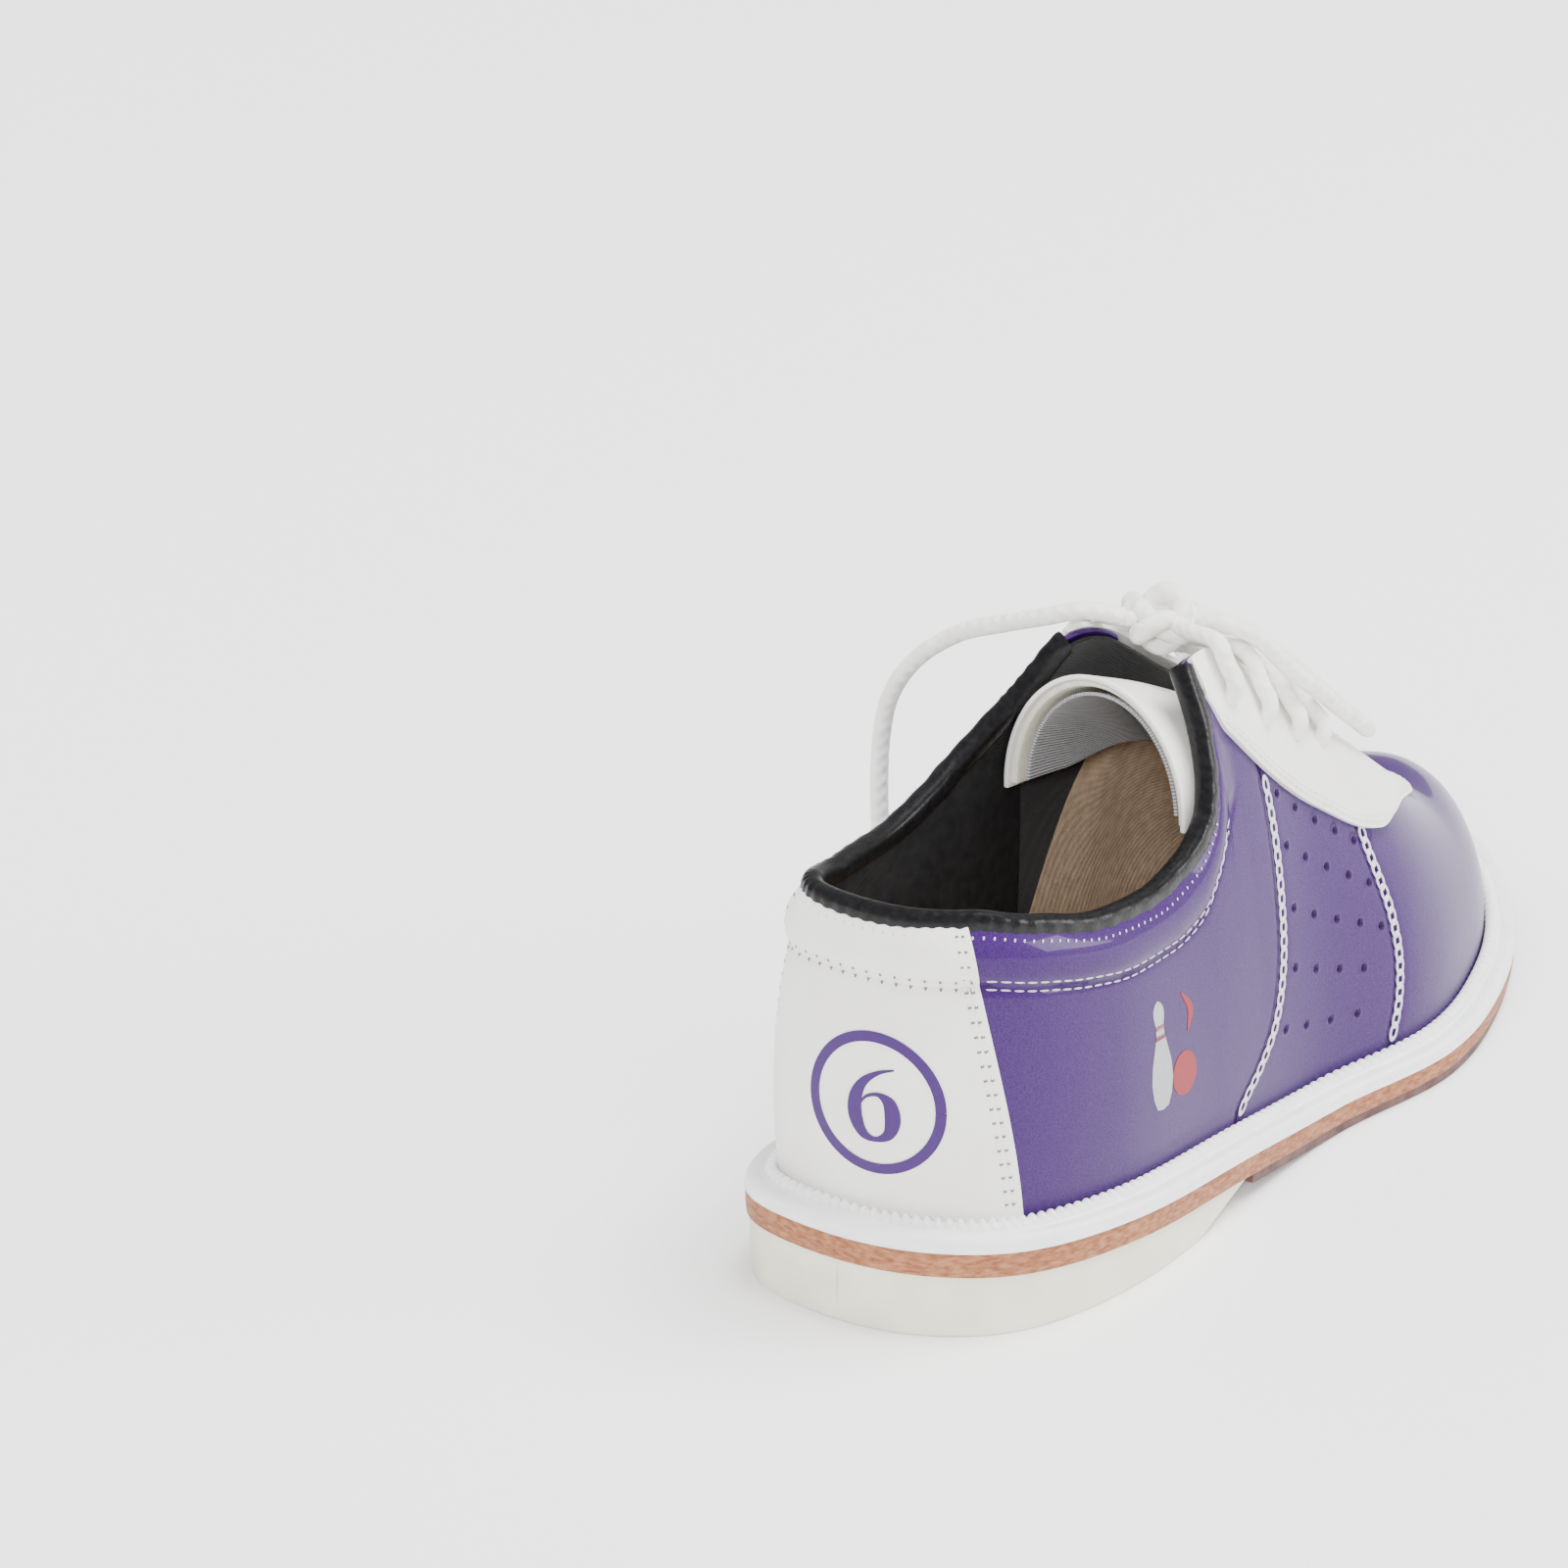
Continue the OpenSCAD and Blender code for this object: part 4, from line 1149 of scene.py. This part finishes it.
def make_tongue():
    cover = grid("tongue_cover", lambda s, r: tongue_at(s, 1 - 2 * r, 0 * s), 70, 70, uv_size=(80, 90))
    finish_piece(thicken(cover, 1.2, 0.3), WHITE, "white_leather", "tongue_cover", body="tongue")
    foam = grid("tongue_foam", lambda s, r: tongue_at(s * 0.98, (1 - 2 * r) * 0.98, 1.3 + 0 * s), 60, 60)
    finish_piece(thicken(foam, 2.0, 0.4), FOAM, "foam", "tongue_foam", body="tongue")
    lining = grid("tongue_lining", lambda s, r: tongue_at(s * 0.96, (1 - 2 * r) * 0.95, 3.45 + 0 * s), 70, 70,
                  uv_size=(80, 90))
    finish_piece(thicken(lining, 0.8, 0.2), GREY, "grey_lining", "tongue_lining", body="tongue")


FOAM = material("foam", (0.75, 0.73, 0.62), 0.95)
mottle(FOAM, (0.70, 0.68, 0.57), (0.78, 0.76, 0.66), 800, 6)
make_tongue()

# ---------------------------------------------------------------- sewing
CAPSULE = template(bpy.ops.mesh.primitive_uv_sphere_add, segments=6, ring_count=5, radius=1)
CAPSULE = (CAPSULE[0][:, [2, 1, 0]], CAPSULE[1])


def on_skin(curve, off):
    """Points and outward directions along a curve given as stations and height angles."""
    u, th = curve[:, 0], curve[:, 1]
    return skin(u, th, off(u, th) if callable(off) else off + 0 * u), normal(u, th)


def stitch_places(curve, off, pitch, length, width, height):
    points, outs = on_skin(curve, off)
    both = resample(np.concatenate([points, outs], -1), pitch)
    places = []
    for a, b in zip(both[:-1], both[1:]):
        along = unit(b[:3] - a[:3])
        up = unit((a[3:] + b[3:]) / 2)
        across = np.cross(up, along)
        places.append(((a[:3] + b[:3]) / 2, along * length / 2, across * width / 2, up * height / 2))
    return places


def sew(name, curves, off, pitch, length, width, height, finish, slot, *nodes, shape=CAPSULE, body="root"):
    places = [p for c in curves for p in stitch_places(c, off, pitch, length, width, height)]
    piece = repeat(name, shape, places)
    return finish_piece(piece, finish, slot, *nodes, body=body, smooth_angle=80)


LINK = template(bpy.ops.mesh.primitive_torus_add, major_segments=12, minor_segments=5, major_radius=0.8,
                minor_radius=0.26)


def seam_curve(pairs, side, top, shift=0.0, low=0.5):
    th = np.linspace(low, top, 60)
    return np.stack([side * (smooth(pairs, th) + shift), th], -1)


def collar_curve(shift, a, b):
    u = np.linspace(a, b, 300)
    return np.stack([u, collar_row(u) + shift], -1)


def make_sewing():
    for name, pairs, top in (("rear_chain_stitch", REAR_SEAM, 44), ("front_chain_stitch", FRONT_SEAM, 41)):
        curves = [seam_curve(pairs, side, top) for side in (1, -1)]
        sew(name, curves, 0.3, 3.3, 4.8, 2.8, 1.5, PALE_THREAD, "thread", name, shape=LINK)
    violet_part = [collar_curve(shift, a, b) for shift in (-0.55, 0.65)
                   for a, b in ((1.62, 4.36), (-3.7, -1.62))]
    sew("collar_stitch", violet_part, lambda u, th: relief(u, th) + 0.14, 3.3, 2.6, 0.46, 0.4, PALE_THREAD,
        "thread", "collar_stitch")
    heel_part = [collar_curve(shift, -1.55, 1.55) for shift in (-0.55, 0.65)]
    sew("heel_collar_stitch", heel_part, lambda u, th: heel_relief(u, th) + 0.05, 3.3, 2.6, 0.6, 0.4, WHITE,
        "thread")
    # Painted shade: dark ovals under the white stitches stand in for the shade in the stitch holes
    sew("heel_collar_hole_shade", heel_part, lambda u, th: heel_relief(u, th) + 0.02, 3.3, 1.2, 0.9, 0.5,
        STITCH_HOLE_SHADE, "thread")
    rows = [seam_curve(HEEL_SEAM, side, 37.5, shift) for side in (1, -1) for shift in (-0.10, -0.185)]
    sew("heel_seam_stitch", rows, lambda u, th: heel_relief(u, th) + 0.05, 3.4, 2.6, 0.6, 0.4,
        WHITE, "thread", "heel_seam_stitch")
    # Painted shade: dark ovals under the white stitches stand in for the shade in the stitch holes
    sew("heel_seam_hole_shade", rows, lambda u, th: heel_relief(u, th) + 0.02, 3.4, 1.2, 0.9, 0.5,
        STITCH_HOLE_SHADE, "thread")
    u = np.linspace(-4.2, 4.2, 400)
    low = np.stack([u, edge(u) - 2.2], -1)
    sew("binding_stitch", [low], lambda u, th: relief(u, th) + 0.15, 2.4, 0.5, 0.8, 0.3,
        PALE_THREAD, "thread")
    apron_rows = []
    for shift in (1.4, 2.6):
        v = np.linspace(4.5, 8.1, 160)
        for side in (1, -1):
            u = v if side > 0 else STATIONS - v
            apron_rows.append(np.stack([u, np.minimum(smooth(APRON_LOW, v) + shift, 89)], -1))
    sew("apron_stitch", apron_rows, APRON_T + APRON_GAP + 0.02, 2.4, 2.0, 0.42, 0.32, WHITE, "thread")


make_sewing()


# ---------------------------------------------------------------- printing
def walk(u0, th0, off):
    """Turns millimetres across and up from a middle point into stations and height angles."""
    us = np.linspace(u0 - 3, u0 + 3, 1201)
    line = last(us, th0 + 0 * us)
    run = distance_along(line)
    run -= np.interp(u0, us, run)
    ths = np.linspace(-4, 80, 841)
    up = last(u0 + 0 * ths, ths)
    climb = distance_along(up)
    climb -= np.interp(th0, ths, climb)

    def place(x, y):
        u, th = np.interp(x, run, us), np.interp(y, climb, ths)
        return skin(u, th, off(u, th))
    return place


def ribbon(name, middle, width, place, columns=120):
    """Inked stroke of changing width along a flat line."""
    t = np.linspace(0, 1, columns + 1)
    line = spline(middle, t * (len(middle) - 1))
    wide = spline(np.array(width, float)[:, None], t * (len(width) - 1))[:, 0]
    ahead = unit(np.gradient(line, axis=0))
    across = np.stack([-ahead[:, 1], ahead[:, 0]], -1)

    def lay(s, r):
        i = np.clip(np.round(s * columns).astype(int), 0, columns)
        p = line[i] + across[i] * (wide[i] * (0.5 - r))[:, None]
        return place(p[:, 0], p[:, 1])
    return grid(name, lay, columns, 6)


def disc(name, outline_x, outline_y, place, rings=8):
    """Inked patch that fills an outline round its middle."""
    n = len(outline_x)
    cx, cy = np.mean(outline_x), np.mean(outline_y)

    def lay(s, r):
        i = np.clip(np.round(s * (n - 1)).astype(int), 0, n - 1)
        return place(cx + (outline_x[i] - cx) * r, cy + (outline_y[i] - cy) * r)
    return grid(name, lay, n - 1, rings)


INK_LIFT = 0.10


def make_number():
    """Size ring and figure on the heel."""
    place = walk(0.26, 13.4, lambda u, th: heel_relief(u, th) + INK_LIFT)
    turn = np.linspace(0, 2 * math.pi, 37)
    circle = np.stack([15.0 * np.cos(turn), 15.2 * np.sin(turn)], -1)
    ring = ribbon("size_ring", circle, [2.4] * 37, place, 180)
    figure_line = [(5.2, 9.2), (1.2, 7.9), (-2.6, 5.0), (-4.6, 0.8), (-4.6, -4.0), (-2.6, -8.0), (0.6, -9.0),
                   (3.8, -7.2), (4.9, -3.4), (4.1, 0.6), (1.4, 2.4), (-1.6, 1.6), (-3.4, -0.6)]
    figure_width = [0.4, 1.1, 2.2, 3.4, 3.7, 2.6, 1.3, 2.7, 3.9, 3.3, 1.2, 0.8, 0.5]
    figure = ribbon("size_figure", np.array(figure_line) * 0.92, np.array(figure_width) * 0.92, place, 140)
    for piece in (ring, figure):
        finish_piece(thicken(piece, 0.12, 0), VIOLET_INK, "ink")


def make_emblem():
    """A plain bowling pin with two neck bands beside a ball."""
    for side, name in ((1, "lateral"), (-1, "medial")):
        place = walk(side * 3.49, 12.6, lambda u, th: relief(u, th) + INK_LIFT)
        y = np.array([-12, -11.7, -9, -5, -1, 3, 6, 8.5, 10.5, 12, 13.2, 13.7])
        half = np.array([0.3, 2.2, 3.6, 4.4, 3.9, 2.6, 1.6, 1.7, 2.2, 2.0, 1.1, 0.2])

        def pin_place(s, r):
            yy = mix(-12, 13.7, s)
            return place(-3.2 * side + (0.5 - r) * 2 * np.interp(yy, y, half), yy)
        pin = grid(f"emblem_pin_{name}", pin_place, 60, 12)
        finish_piece(thicken(pin, 0.1, 0), GREY_INK, "emblem_grey")
        bands = []
        for level in (5.3, 7.6):
            def band_place(s, r, level=level):
                yy = level + (s - 0.5) * 1.1
                return place(-3.2 * side + (0.5 - r) * 2.05 * np.interp(yy, y, half), yy)
            bands.append(grid("band", band_place, 3, 12))
        turn = np.linspace(0, 2 * math.pi, 49)
        ball = disc("ball", 6.4 * side + 5.2 * np.cos(turn), -6.2 + 5.2 * np.sin(turn), place)
        arc_line = [(8.4 * side, 3.0), (10.2 * side, 8.0), (7.0 * side, 12.6)]
        arc = ribbon("arc", arc_line, [0.4, 2.2, 0.4], place, 40)
        marks = join_parts(f"emblem_red_{name}", [*bands, ball, arc])
        activate(marks)
        bpy.ops.object.mode_set(mode="EDIT")
        bpy.ops.mesh.select_all(action="SELECT")
        bpy.ops.mesh.normals_make_consistent(inside=False)
        bpy.ops.object.mode_set(mode="OBJECT")
        finish_piece(thicken(marks, 0.14, 0), RED_INK, "emblem_red")


make_number()
make_emblem()
